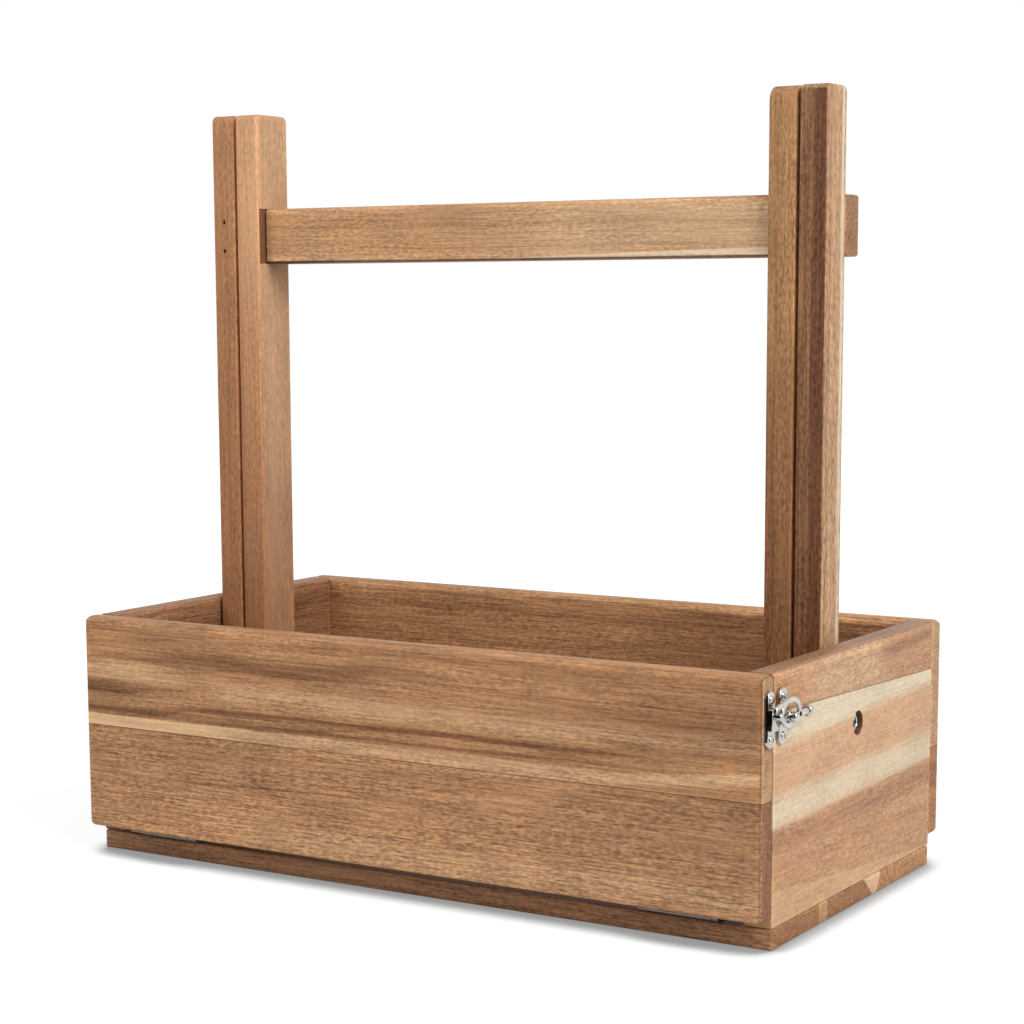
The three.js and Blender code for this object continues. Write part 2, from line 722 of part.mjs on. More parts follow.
for (const { face, flip } of sides) {
  const half = new THREE.Group();
  half.scale.y = flip;
  carrier.add(half);
  place(face + "_flap", flap(flip), wood(midBrown), half);
  for (const { side, mirror } of ends) {
    const corner = new THREE.Group();
    corner.scale.x = mirror;
    half.add(corner);
    const label = face + "_" + side;
    place(label + "_hinge_base_leaf", baseLeaf(), metal(steel, 0.4), corner);
    place(label + "_hinge_flap_leaf", flapLeaf(), metal(steel, 0.4), corner);
    place(label + "_hinge_pin", hingePin(), metal(steel, 0.4), corner);
    if (mirror !== flip) {
      continue;
    }
    place(label + "_catch_plate", catchPlate(), metal(nickel, 0.28), corner);
    place(label + "_hook_plate", hookPlate(), metal(nickel, 0.28), corner);
    place(label + "_hook", hook(), metal(nickel, 0.28), corner);
    place(label + "_hook_rivet", hookRivet(), metal(nickel, 0.28), corner);
    for (const { level, z } of latchScrewHeights) {
      place(label + "_" + level + "_catch_screw", latchScrew(catchMiddle, z), metal(nickel, 0.28), corner);
      place(label + "_" + level + "_hook_plate_screw", latchScrew(hookPivot, z), metal(nickel, 0.28), corner);
    }
  }
}

export default carrier;
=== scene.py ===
# %% [markdown]
# # A picnic wine carrier in acacia
# The carrier is a shallow wooden box with two flaps that drop down on hinges, and two U-shaped
# carrying frames that swing on one pair of bolts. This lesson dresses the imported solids: every
# board and every piece of hardware is rebuilt finer than its solid, in the same place, and then
# rides on the same moving body. All sizes in the code are millimetres; Blender works in metres,
# so points are scaled once, where a mesh is made.

import json
import math

import bmesh
import bpy
import numpy as np
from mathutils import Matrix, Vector

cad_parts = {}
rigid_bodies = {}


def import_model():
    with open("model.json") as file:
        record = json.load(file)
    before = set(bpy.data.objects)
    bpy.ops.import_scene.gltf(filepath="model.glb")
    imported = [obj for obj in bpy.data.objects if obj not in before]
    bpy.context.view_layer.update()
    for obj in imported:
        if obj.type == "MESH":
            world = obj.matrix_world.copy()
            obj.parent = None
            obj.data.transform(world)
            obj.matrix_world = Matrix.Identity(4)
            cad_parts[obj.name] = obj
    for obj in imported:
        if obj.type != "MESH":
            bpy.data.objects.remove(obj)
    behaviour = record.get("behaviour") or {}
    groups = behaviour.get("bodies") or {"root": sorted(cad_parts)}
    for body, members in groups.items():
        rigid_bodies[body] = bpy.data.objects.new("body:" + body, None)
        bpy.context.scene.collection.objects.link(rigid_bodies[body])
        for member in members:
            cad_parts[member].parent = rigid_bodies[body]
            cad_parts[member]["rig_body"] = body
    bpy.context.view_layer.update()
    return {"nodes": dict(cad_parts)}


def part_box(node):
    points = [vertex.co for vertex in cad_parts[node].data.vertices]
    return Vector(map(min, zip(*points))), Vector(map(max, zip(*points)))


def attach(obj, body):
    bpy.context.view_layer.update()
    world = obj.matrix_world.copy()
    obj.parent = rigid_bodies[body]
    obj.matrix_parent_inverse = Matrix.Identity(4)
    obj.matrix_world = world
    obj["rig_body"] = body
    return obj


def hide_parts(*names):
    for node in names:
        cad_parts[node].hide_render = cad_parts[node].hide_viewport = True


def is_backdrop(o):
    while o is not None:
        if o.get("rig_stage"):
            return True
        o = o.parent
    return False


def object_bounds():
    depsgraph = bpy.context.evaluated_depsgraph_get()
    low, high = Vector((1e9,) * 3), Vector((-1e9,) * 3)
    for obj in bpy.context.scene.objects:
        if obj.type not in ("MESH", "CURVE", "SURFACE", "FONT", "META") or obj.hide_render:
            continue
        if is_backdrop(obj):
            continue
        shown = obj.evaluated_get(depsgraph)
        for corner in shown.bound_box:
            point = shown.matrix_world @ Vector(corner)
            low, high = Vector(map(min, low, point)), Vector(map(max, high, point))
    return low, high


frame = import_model()
mm = 0.001
body_of_node = {name: node["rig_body"] for name, node in frame["nodes"].items()}

# %% [markdown]
# ## Small helpers for node trees
# A material is a tree of nodes. Adding a node, setting its inputs and linking it takes three calls
# in Blender, so these helpers fold them into one. A plain number sets a socket, and another node's
# output is linked to it. Tints are written as the usual 0 to 255 values and turned to linear light,
# which is what a shader socket takes.

# %% Node helpers


def feed(tree, socket, source):
    if isinstance(source, bpy.types.NodeSocket):
        tree.links.new(source, socket)
    else:
        socket.default_value = source


def add(tree, kind, inputs=None, **settings):
    node = tree.nodes.new(kind)
    for key, value in settings.items():
        setattr(node, key, value)
    for key, source in (inputs or {}).items():
        feed(tree, node.inputs[key], source)
    return node


def maths(tree, operation, *terms):
    return add(tree, "ShaderNodeMath", dict(enumerate(terms)), operation=operation).outputs[0]


def remap(tree, value, low, high, to_low=0.0, to_high=1.0):
    inputs = {"Value": value, "From Min": low, "From Max": high, "To Min": to_low, "To Max": to_high}
    return add(tree, "ShaderNodeMapRange", inputs, interpolation_type="SMOOTHSTEP").outputs["Result"]


def blend_tints(tree, share, first, second, how="MIX"):
    node = add(tree, "ShaderNodeMix", {0: share, 6: first, 7: second}, data_type="RGBA", blend_type=how)
    return node.outputs[2]


def blend_values(tree, share, first, second):
    return add(tree, "ShaderNodeMix", {0: share, 2: first, 3: second}, data_type="FLOAT").outputs[0]


def noise(tree, place, scale, detail=2.0, roughness=0.5):
    inputs = {"Vector": place, "Scale": scale, "Detail": detail, "Roughness": roughness}
    return add(tree, "ShaderNodeTexNoise", inputs)


def line_noise(tree, place, detail, roughness):
    inputs = {"W": place, "Scale": 1.0, "Detail": detail, "Roughness": roughness}
    return add(tree, "ShaderNodeTexNoise", inputs, noise_dimensions="1D").outputs[0]


def scaled(tree, place, factors):
    return add(tree, "ShaderNodeVectorMath", {0: place, 1: factors}, operation="MULTIPLY").outputs[0]


def tinted(tree, colour, factor):
    return blend_tints(tree, 1.0, colour, factor, "MULTIPLY")


def tint(red, green, blue):
    linear = []
    for value in (red, green, blue):
        share = value / 255
        linear.append(share / 12.92 if share <= 0.04045 else ((share + 0.055) / 1.055) ** 2.4)
    return (*linear, 1.0)


def new_group(name, inputs, outputs):
    tree = bpy.data.node_groups.new(name, "ShaderNodeTree")
    for label, kind, value in inputs:
        socket = tree.interface.new_socket(label, in_out="INPUT", socket_type="NodeSocket" + kind)
        if value is not None:
            socket.default_value = value
    for label, kind in outputs:
        tree.interface.new_socket(label, in_out="OUTPUT", socket_type="NodeSocket" + kind)
    start = tree.nodes.new("NodeGroupInput").outputs
    end = tree.nodes.new("NodeGroupOutput").inputs
    return tree, start, end


def use_group(tree, group, inputs):
    node = add(tree, "ShaderNodeGroup", node_tree=group)
    for key, source in inputs.items():
        feed(tree, node.inputs[key], source)
    return node.outputs


print("node helpers ready")

# %% [markdown]
# ## Acacia grain
# Acacia has a warm brown heartwood with long darker growth streaks and many short dark pores. A
# picture of wood would stretch at the corners, so the grain is solid: it is worked out in three
# dimensions, and a cut edge shows the same streaks as the face beside it. The group takes a place
# measured along the grain, across the board and through it. Growth rings are distances from a pith
# line outside the board, bent by slow noise, and some of them end in a thin dark line. Long fibres,
# short flecks and pores are noise that is stretched along the grain. Pale wood is calmer, so above
# a chosen paleness they fade.

# %% Grain group
grain_group, start, end = new_group(
    "acacia grain",
    [
        ("Place", "Vector", None),
        ("Wood", "Color", tint(170, 125, 88)),
        ("Seed", "Float", 0.0),
        ("Pith Across", "Float", -60.0),
        ("Pith Depth", "Float", 70.0),
        ("Ring Width", "Float", 7.0),
        ("Wander", "Float", 9.0),
        ("Figure", "Float", 0.6),
        ("Fibre", "Float", 1.0),
        ("Fleck", "Float", 1.0),
        ("Pores", "Float", 0.6),
        ("Calm Above", "Float", 0.4),
    ],
    [("Color", "Color"), ("Height", "Float"), ("Roughness", "Float")],
)
tree = grain_group
white = (1.0, 1.0, 1.0, 1.0)
dark_ring = (0.56, 0.48, 0.41, 1.0)
pale_ring = (1.22, 1.25, 1.29, 1.0)
growth_line = (0.70, 0.62, 0.55, 1.0)
open_pore = (0.52, 0.43, 0.36, 1.0)
split = add(tree, "ShaderNodeSeparateXYZ", {0: start["Place"]}).outputs
along = maths(tree, "MULTIPLY_ADD", start["Seed"], 977.0, split["X"])
across = split["Y"]
depth = split["Z"]


def stretched(along_share, across_share):
    parts = {
        0: maths(tree, "MULTIPLY", along, along_share),
        1: maths(tree, "MULTIPLY", across, across_share),
        2: maths(tree, "MULTIPLY", depth, across_share),
    }
    return add(tree, "ShaderNodeCombineXYZ", parts).outputs[0]


drift = noise(tree, stretched(0.0055, 0.011), 1.0, 2.0).outputs["Color"]
drift = add(tree, "ShaderNodeSeparateXYZ", {0: drift}).outputs
swing = maths(tree, "MULTIPLY", start["Wander"], 2.6)
bent_across = maths(tree, "MULTIPLY_ADD", maths(tree, "SUBTRACT", drift["X"], 0.5), swing, across)
bent_depth = maths(tree, "MULTIPLY_ADD", maths(tree, "SUBTRACT", drift["Y"], 0.5), swing, depth)
from_pith_across = maths(tree, "SUBTRACT", bent_across, start["Pith Across"])
from_pith_depth = maths(tree, "SUBTRACT", bent_depth, start["Pith Depth"])
squares = [maths(tree, "POWER", part, 2.0) for part in (from_pith_across, from_pith_depth)]
from_pith = maths(tree, "SQRT", maths(tree, "ADD", *squares))
ring_place = maths(tree, "DIVIDE", from_pith, start["Ring Width"])
ring_place = maths(tree, "MULTIPLY_ADD", start["Seed"], 13.7, ring_place)
rings = line_noise(tree, ring_place, 3.0, 0.62)
lines = line_noise(tree, maths(tree, "MULTIPLY", ring_place, 4.6), 1.0, 0.5)
streaks = noise(tree, stretched(0.0034, 0.30), 1.0, 4.0, 0.66).outputs[0]
fibres = noise(tree, stretched(0.024, 0.95), 1.0, 3.0, 0.66).outputs[0]
flecks = noise(tree, stretched(0.27, 0.72), 1.0, 1.0, 0.5).outputs[0]
pore_noise = noise(tree, stretched(0.12, 0.95), 1.0, 2.0, 0.5).outputs[0]
pore_zone = noise(tree, stretched(0.012, 0.07), 1.0, 2.0).outputs[0]
ribbon = noise(tree, stretched(0.02, 0.03), 1.0, 2.0).outputs[0]

tone = maths(tree, "ADD", maths(tree, "MULTIPLY", rings, 0.5), maths(tree, "MULTIPLY", streaks, 0.5))
tone = remap(tree, tone, 0.34, 0.66)
tone = maths(tree, "SUBTRACT", tone, 0.5)
tone = maths(tree, "MULTIPLY_ADD", tone, start["Figure"], 0.5)
dark_side = blend_tints(tree, remap(tree, tone, 0.0, 0.5), dark_ring, white)
both_sides = blend_tints(tree, remap(tree, tone, 0.5, 1.0), dark_side, pale_ring)
wood = tinted(tree, start["Wood"], both_sides)
paleness = add(tree, "ShaderNodeRGBToBW", {0: start["Wood"]}).outputs[0]
calm_from = start["Calm Above"]
liveliness = remap(tree, paleness, calm_from, maths(tree, "ADD", calm_from, 0.16), 1.0, 0.4)
fleck_zone = maths(tree, "MULTIPLY", remap(tree, pore_zone, 0.3, 0.6, 0.5, 1.0), start["Fleck"])
fleck = maths(tree, "MULTIPLY", remap(tree, flecks, 0.25, 0.75, -0.27, 0.25), fleck_zone)
thread = remap(tree, fibres, 0.28, 0.72, -0.34, 0.29)
thread = maths(tree, "MULTIPLY_ADD", thread, start["Fibre"], fleck)
thread = maths(tree, "MULTIPLY_ADD", thread, liveliness, 1.0)
value = maths(tree, "MULTIPLY", thread, remap(tree, ribbon, 0.3, 0.7, 0.93, 1.07))
wood = add(tree, "ShaderNodeHueSaturation", {"Value": value, "Color": wood}).outputs[0]
growth = maths(tree, "MULTIPLY", remap(tree, lines, 0.56, 0.68), remap(tree, pore_zone, 0.40, 0.62))
growth = maths(tree, "MULTIPLY", growth, start["Figure"])
wood = blend_tints(tree, growth, wood, tinted(tree, wood, growth_line))
pores = remap(tree, pore_noise, 0.54, 0.66)
pores = maths(tree, "MULTIPLY", pores, remap(tree, pore_zone, 0.3, 0.6, 0.35, 1.0))
pores = maths(tree, "MULTIPLY", pores, maths(tree, "MULTIPLY", start["Pores"], 0.72))
pores = maths(tree, "MULTIPLY", pores, liveliness)
feed(tree, end["Color"], blend_tints(tree, pores, wood, tinted(tree, wood, open_pore)))
feed(tree, end["Height"], maths(tree, "SUBTRACT", maths(tree, "MULTIPLY", fibres, 0.35), pores))
sheen = remap(tree, streaks, 0.3, 0.7, 0.46, 0.56)
feed(tree, end["Roughness"], maths(tree, "MULTIPLY_ADD", pores, 0.14, sheen))
print("grain group:", len(tree.nodes), "nodes")

# %% [markdown]
# ## Bands, glue joints and sanded edges
# One board can turn from brown heartwood to cream sapwood, and most panels of the carrier are glued
# from several boards. A band is a soft stripe with a height, a slope and a wandering edge, so that
# a stripe can be put where the real board has it. A joint is a hard step with a hair-thin dark line.
# Sanding wears the arrises a little paler and smoother; the mesh carries that as a point attribute.

# %% Band, joint and edge groups
band_group, start, end = new_group(
    "figure band",
    [
        ("Place", "Vector", None),
        ("Height", "Float", 0.0),
        ("Slope", "Float", 0.0),
        ("Tilt", "Float", 0.0),
        ("Half Width", "Float", 5.0),
        ("Softness", "Float", 3.0),
        ("Wander", "Float", 2.0),
        ("From", "Float", -1000.0),
        ("To", "Float", 1000.0),
        ("Ramp", "Float", 45.0),
        ("Strength", "Float", 1.0),
    ],
    [("Mask", "Float")],
)
tree = band_group
split = add(tree, "ShaderNodeSeparateXYZ", {0: start["Place"]}).outputs
slow = noise(tree, scaled(tree, start["Place"], (0.011, 0.02, 0.02)), 1.0, 2.0).outputs[0]
fine = noise(tree, scaled(tree, start["Place"], (0.013, 0.55, 0.55)), 1.0, 4.0, 0.65).outputs[0]
middle = maths(tree, "MULTIPLY_ADD", split["X"], start["Slope"], start["Height"])
middle = maths(tree, "MULTIPLY_ADD", split["Z"], start["Tilt"], middle)
swing = maths(tree, "MULTIPLY", start["Wander"], 3.0)
bend = maths(tree, "MULTIPLY", maths(tree, "SUBTRACT", slow, 0.5), swing)
away = maths(tree, "ABSOLUTE", maths(tree, "SUBTRACT", maths(tree, "ADD", split["Y"], bend), middle))
ragged = maths(tree, "MULTIPLY", start["Softness"], 1.6)
fray = maths(tree, "MULTIPLY", maths(tree, "SUBTRACT", fine, 0.5), ragged)
away = maths(tree, "ADD", away, fray)
half_soft = maths(tree, "MULTIPLY", start["Softness"], 0.5)
near_edge = maths(tree, "SUBTRACT", start["Half Width"], half_soft)
far_edge = maths(tree, "ADD", start["Half Width"], half_soft)
inside = remap(tree, away, near_edge, far_edge, 1.0, 0.0)
opens = remap(tree, split["X"], start["From"], maths(tree, "ADD", start["From"], start["Ramp"]))
shuts = remap(tree, split["X"], maths(tree, "SUBTRACT", start["To"], start["Ramp"]), start["To"], 1.0, 0.0)
mask = maths(tree, "MULTIPLY", inside, maths(tree, "MULTIPLY", opens, shuts))
feed(tree, end["Mask"], maths(tree, "MULTIPLY", mask, start["Strength"]))

joint_group, start, end = new_group(
    "glue joint",
    [("Place", "Vector", None), ("Height", "Float", 0.0), ("Slope", "Float", 0.0), ("Tilt", "Float", 0.0)],
    [("Above", "Float"), ("Line", "Float")],
)
tree = joint_group
split = add(tree, "ShaderNodeSeparateXYZ", {0: start["Place"]}).outputs
middle = maths(tree, "MULTIPLY_ADD", split["X"], start["Slope"], start["Height"])
middle = maths(tree, "MULTIPLY_ADD", split["Z"], start["Tilt"], middle)
over = maths(tree, "SUBTRACT", split["Y"], middle)
feed(tree, end["Above"], maths(tree, "GREATER_THAN", over, 0.0))
feed(tree, end["Line"], remap(tree, maths(tree, "ABSOLUTE", over), 0.15, 0.5, 1.0, 0.0))

edge_group, start, end = new_group(
    "sanded edge",
    [
        ("Place", "Vector", None),
        ("Color", "Color", white),
        ("Edge", "Float", 0.0),
        ("Amount", "Float", 0.3),
    ],
    [("Color", "Color"), ("Worn", "Float")],
)
tree = edge_group
sanded_arris = (1.5, 1.52, 1.55, 1.0)
patchy = noise(tree, start["Place"], 0.06, 3.0, 0.6).outputs[0]
worn = maths(tree, "MULTIPLY", start["Edge"], remap(tree, patchy, 0.3, 0.65, 0.45, 1.0))
worn = maths(tree, "MULTIPLY", worn, start["Amount"])
paler = tinted(tree, start["Color"], sanded_arris)
feed(tree, end["Color"], blend_tints(tree, worn, start["Color"], paler))
feed(tree, end["Worn"], worn)
print("band, joint and edge groups ready")

# %% [markdown]
# ## One wood finish for every board
# A board's material reads Object coordinates, turns them so that the first axis follows the grain,
# and then chooses the wood colour: each glued board has its own tone and bands, and the grain lies
# over all. The cut ends of a board drink more oil, so faces across the grain come out darker. Inside
# a bored hole and a housing the colour is darkened further with painted shade. The lacquer is thin
# and satin: a mid roughness with a light coat, and a fine bump from fibres and pores.

# %% Wood finish function
grain_axes = {"X": ("X", "Z", "Y"), "Y": ("Y", "Z", "X"), "Z": ("Z", "Y", "X"), "flat": ("X", "Y", "Z")}
axis_vectors = {"X": (1.0, 0.0, 0.0), "Y": (0.0, 1.0, 0.0), "Z": (0.0, 0.0, 1.0)}
metres_to_millimetres = (1000.0, 1000.0, 1000.0)
recess_shade_tint = (0.26, 0.20, 0.16, 1.0)
glue_line = (0.42, 0.35, 0.30, 1.0)


def new_material(name):
    material = bpy.data.materials.new(name)
    material.use_nodes = True
    tree = material.node_tree
    return material, tree, tree.nodes["Principled BSDF"]


def banded(tree, place, colour, bands):
    for shade, inputs in bands:
        mask = use_group(tree, band_group, {"Place": place, **inputs})["Mask"]
        colour = blend_tints(tree, mask, colour, shade)
    return colour


def wood_finish(name, grain, boards, joints=(), edge_amount=0.35, end_shade=0.74):
    material, tree, shader = new_material(name)
    spot = add(tree, "ShaderNodeTexCoord")
    split = add(tree, "ShaderNodeSeparateXYZ", {0: spot.outputs["Object"]}).outputs
    axes = grain_axes[grain]
    turned = add(tree, "ShaderNodeCombineXYZ", {i: split[axis] for i, axis in enumerate(axes)})
    place = scaled(tree, turned.outputs[0], metres_to_millimetres)

    chosen = None
    line = 0.0
    for traits, joint in zip(boards, [None, *joints]):
        upper = {key: value for key, value in traits.items() if key != "bands"}
        upper["Wood"] = banded(tree, place, upper["Wood"], traits["bands"])
        if joint is None:
            chosen = upper
            continue
        joint = use_group(tree, joint_group, {"Place": place, **joint})
        for key in chosen:
            blend = blend_tints if key == "Wood" else blend_values
            chosen[key] = blend(tree, joint["Above"], chosen[key], upper[key])
        line = maths(tree, "MAXIMUM", joint["Line"], line)

    grain_out = use_group(tree, grain_group, {"Place": place, **chosen})
    edge = add(tree, "ShaderNodeAttribute", attribute_name="edge").outputs["Fac"]
    sanded = use_group(
        tree,
        edge_group,
        {"Place": place, "Color": grain_out["Color"], "Edge": edge, "Amount": edge_amount},
    )
    facing = add(
        tree,
        "ShaderNodeVectorMath",
        {0: spot.outputs["Normal"], 1: axis_vectors[axes[0]]},
        operation="DOT_PRODUCT",
    ).outputs["Value"]
    end_grain = remap(tree, maths(tree, "ABSOLUTE", facing), 0.75, 0.97)
    end_tint = (end_shade, end_shade * 0.96, end_shade * 0.92, 1.0)
    darker = tinted(tree, sanded["Color"], end_tint)
    colour = blend_tints(tree, end_grain, sanded["Color"], darker)
    # The recess attribute marks where painted shade darkens the inside of bores and housings.
    recess = add(tree, "ShaderNodeAttribute", attribute_name="recess").outputs["Fac"]
    colour = blend_tints(tree, recess, colour, tinted(tree, colour, recess_shade_tint))
    glue = tinted(tree, colour, glue_line)
    colour = blend_tints(tree, maths(tree, "MULTIPLY", line, 0.9), colour, glue)
    feed(tree, shader.inputs["Base Color"], colour)

    rough = maths(tree, "MULTIPLY_ADD", sanded["Worn"], -0.10, grain_out["Roughness"])
    feed(tree, shader.inputs["Roughness"], maths(tree, "MULTIPLY_ADD", end_grain, 0.12, rough))
    relief = maths(tree, "MULTIPLY_ADD", line, -0.8, grain_out["Height"])
    bump = add(tree, "ShaderNodeBump", {"Strength": 0.32, "Distance": 0.00025, "Height": relief})
    feed(tree, shader.inputs["Normal"], bump.outputs[0])
    shader.inputs["Specular IOR Level"].default_value = 0.26
    shader.inputs["Coat Weight"].default_value = 0.04
    shader.inputs["Coat Roughness"].default_value = 0.35
    return material


def board(
    wood,
    seed,
    figure=0.6,
    fibre=1.0,
    fleck=1.0,
    pores=0.6,
    ring=7.0,
    wander=9.0,
    pith=(-60.0, 70.0),
    calm=0.4,
    bands=(),
):
    return {
        "Wood": wood,
        "Seed": seed,
        "Figure": figure,
        "Fibre": fibre,
        "Fleck": fleck,
        "Pores": pores,
        "Ring Width": ring,
        "Wander": wander,
        "Pith Across": pith[0],
        "Pith Depth": pith[1],
        "Calm Above": calm,
        "bands": bands,
    }


def band(
    shade,
    height,
    half,
    slope=0.0,
    tilt=0.0,
    soft=3.0,
    wander=2.0,
    strength=1.0,
    span=(-1000, 1000),
    ramp=45.0,
):
    inputs = {
        "Height": height,
        "Slope": slope,
        "Tilt": tilt,
        "Half Width": half,
        "Softness": soft,
        "Wander": wander,
        "Strength": strength,
        "From": float(span[0]),
        "To": float(span[1]),
        "Ramp": ramp,
    }
    return shade, inputs


def glued(height, slope=0.0, tilt=0.0):
    return {"Height": height, "Slope": slope, "Tilt": tilt}


print("wood finish ready")

# %% [markdown]
# ## The tones of this carrier
# The boards come from one species, yet each has its own tone, from cream sapwood to a walnut-dark
# heart. The main tones are named once here, and a tone that only one stripe has is written with the
# stripe. They are written as they look in plain light, because the lamps below are set so that a
# colour comes out about as it is written.

# %% Tones
cream = tint(213, 196, 167)
sapwood = tint(226, 184, 140)
pale_tan = tint(196, 155, 115)
pink_tan = tint(201, 158, 120)
honey = tint(203, 153, 108)
mid_brown = tint(187, 141, 102)
flap_brown = tint(187, 139, 98)
warm_brown = tint(187, 138, 96)
deep_brown = tint(154, 108, 74)
pale_strip = tint(246, 202, 155)
strip_tan = tint(209, 165, 124)
arris_brown = tint(138, 96, 67)
streak_brown = tint(126, 83, 54)
walnut = tint(118, 75, 50)
print("fourteen wood tones named")

# %% [markdown]
# ## Finishes of the box
# The front flap is two boards: the upper one streaky with a pale strip along its lower edge, the
# lower one even and full of pores. The right end panel is a brown board over a lively one that runs
# from cream to pink tan, cream and brown. The base is glued from staves of different tone, and has a
# dark line of painted shade in the narrow gap under each flap.

# %% Front flap finish
flap_lower = board(
    flap_brown,
    3.1,
    figure=0.55,
    fibre=1.0,
    fleck=1.15,
    pores=0.9,
    ring=11.0,
    wander=6.0,
    pith=(20.0, 160.0),
    bands=[
        band(tint(165, 121, 86), 45.0, 60.0, wander=1.0, strength=0.55, span=(30, 1000), ramp=150.0),
        band(deep_brown, 66.0, 9.0, soft=16.0, wander=3.0, strength=0.35, span=(-1000, -40), ramp=150.0),
        band(streak_brown, 57.0, 0.6, slope=0.034, soft=1.4, wander=0.6, strength=0.55, span=(-215, 40)),
        band(streak_brown, 44.0, 0.5, slope=0.012, soft=1.2, wander=0.6, strength=0.4, span=(-60, 190)),
        band(sapwood, 27.0, 6.0, soft=10.0, wander=2.5, strength=0.3, span=(-160, 1000), ramp=120.0),
        band(arris_brown, 45.0, 60.0, strength=0.7, span=(226.6, 228.4), ramp=0.5),
        band(tint(168, 119, 85), 45.0, 60.0, strength=0.95, span=(227.9, 1000), ramp=0.4),
    ],
)
strip = {"slope": 0.004, "soft": 1.4, "wander": 0.5}
flap_upper = board(
    warm_brown,
    5.4,
    figure=0.62,
    fibre=0.8,
    fleck=0.85,
    pores=0.45,
    ring=6.5,
    wander=8.0,
    pith=(-10.0, 120.0),
    bands=[
        band(tint(172, 124, 82), 139.0, 11.0, soft=8.0, strength=0.5, span=(-1000, -130), ramp=60.0),
        band(sapwood, 116.0, 6.0, soft=9.0, wander=2.0, strength=0.45, span=(-1000, -130), ramp=60.0),
        band(streak_brown, 105.2, 4.2, soft=5.0, wander=1.2, strength=0.85, span=(-1000, -165), ramp=50.0),
        band(streak_brown, 126.0, 5.5, soft=9.0, wander=2.0, strength=0.5, span=(-190, 10), ramp=60.0),
        band(sapwood, 108.5, 4.5, soft=7.0, wander=1.5, strength=0.5, span=(-150, 1000)),
        band(streak_brown, 98.0, 1.5, slope=0.004, soft=2.6, wander=0.8, strength=0.8, span=(-165, 170)),
        band(streak_brown, 91.2, 1.2, slope=0.006, soft=2.0, wander=0.6, strength=0.75, span=(-165, 130)),
        band(streak_brown, 92.0, 3.0, soft=3.5, wander=0.8, strength=0.7, span=(-1000, -130), ramp=60.0),
        # Darker over the right part: partly the board's tone, partly painted shade.
        band(streak_brown, 116.0, 16.0, soft=18.0, wander=4.0, strength=0.5, span=(90, 1000), ramp=90.0),
        band(deep_brown, 141.0, 3.0, soft=5.0, wander=1.5, strength=0.4, span=(-90, 1000)),
        band(strip_tan, 84.6, 4.0, strength=0.95, span=(-1000, 160), **strip),
        band(pale_strip, 84.6, 4.0, strength=0.85, span=(-1000, -55), ramp=110.0, **strip),
        band(mid_brown, 84.6, 4.0, strength=0.4, span=(-45, 50), ramp=35.0, **strip),
        band(sapwood, 73.0, 3.2, 0.088, soft=1.8, wander=0.5, strength=0.7, span=(120, 1000), ramp=30.0),
        band(arris_brown, 115.0, 60.0, strength=0.7, span=(226.6, 228.4), ramp=0.5),
        band(tint(213, 172, 131), 115.0, 60.0, strength=0.9, span=(227.9, 1000), ramp=0.4),
    ],
)
front_flap_finish = wood_finish(
    "front flap acacia",
    "X",
    [flap_lower, flap_upper],
    [glued(80.8)],
    edge_amount=0.2,
    end_shade=0.66,
)
print("front flap:", len(flap_lower["bands"]) + len(flap_upper["bands"]), "bands on two boards")

# %% Back flap and end panel finishes
back_lower = board(
    warm_brown,
    8.3,
    ring=8.0,
    bands=[band(deep_brown, 52.0, 4.0, slope=0.02, soft=6.0, strength=0.6)],
)
back_upper = board(
    honey,
    9.6,
    figure=0.5,
    pores=0.5,
    bands=[
        # Darker towards the right end: partly the board's tone, partly painted shade where the inner face
        # lies in shade.
        band(deep_brown, 110.0, 33.0, soft=4.0, strength=0.9, span=(-20, 1000), ramp=130.0),
        band(walnut, 110.0, 18.0, soft=12.0, strength=0.7, span=(60, 1000), ramp=130.0),
        band(tint(212, 172, 135), 110.0, 60.0, strength=0.9, span=(227.6, 1000), ramp=0.5),
    ],
)
back_flap_finish = wood_finish("back flap acacia", "X", [back_lower, back_upper], [glued(71.0)])

right_lower = board(
    pink_tan,
    2.2,
    figure=0.17,
    fibre=0.52,
    fleck=1.0,
    pores=0.25,
    ring=9.0,
    wander=5.0,
    calm=0.285,
    bands=[
        band(cream, 125.0, 16.0, slope=0.014, soft=9.0, wander=1.5),
        band(cream, 73.5, 8.5, soft=10.0, wander=1.2, strength=0.82),
        band(tint(187, 141, 101), 14.6, 50.0, slope=0.004, soft=2.6, wander=1.0, strength=0.95),
        band(tint(158, 112, 77), 57.0, 5.0, slope=0.004, soft=11.0, wander=1.5, strength=0.7),
        band(deep_brown, 40.0, 2.0, slope=-0.03, soft=4.0, wander=1.5, strength=0.3),
        band(tint(205, 163, 121), -18.5, 40.0, slope=-0.09, soft=2.0, wander=0.8, strength=0.9),
    ],
)
right_upper = board(
    mid_brown,
    6.7,
    figure=0.34,
    fibre=0.42,
    fleck=0.9,
    pores=0.45,
    bands=[
        band(tint(200, 163, 125), 134.0, 11.0, soft=10.0, wander=2.0, strength=0.75, span=(-85, 60)),
        band(tint(174, 130, 94), 134.0, 30.0, soft=4.0, strength=0.7, span=(20, 1000), ramp=60.0),
        band(deep_brown, 134.5, 3.0, 0.074, soft=5.0, wander=1.0, strength=0.7, span=(0, 1000), ramp=60.0),
        band(tint(158, 119, 87), 151.0, 4.4, soft=0.6, wander=0.1, strength=0.9),
    ],
)
right_panel_finish = wood_finish("right end acacia", "Y", [right_lower, right_upper], [glued(123.0, -0.033)])

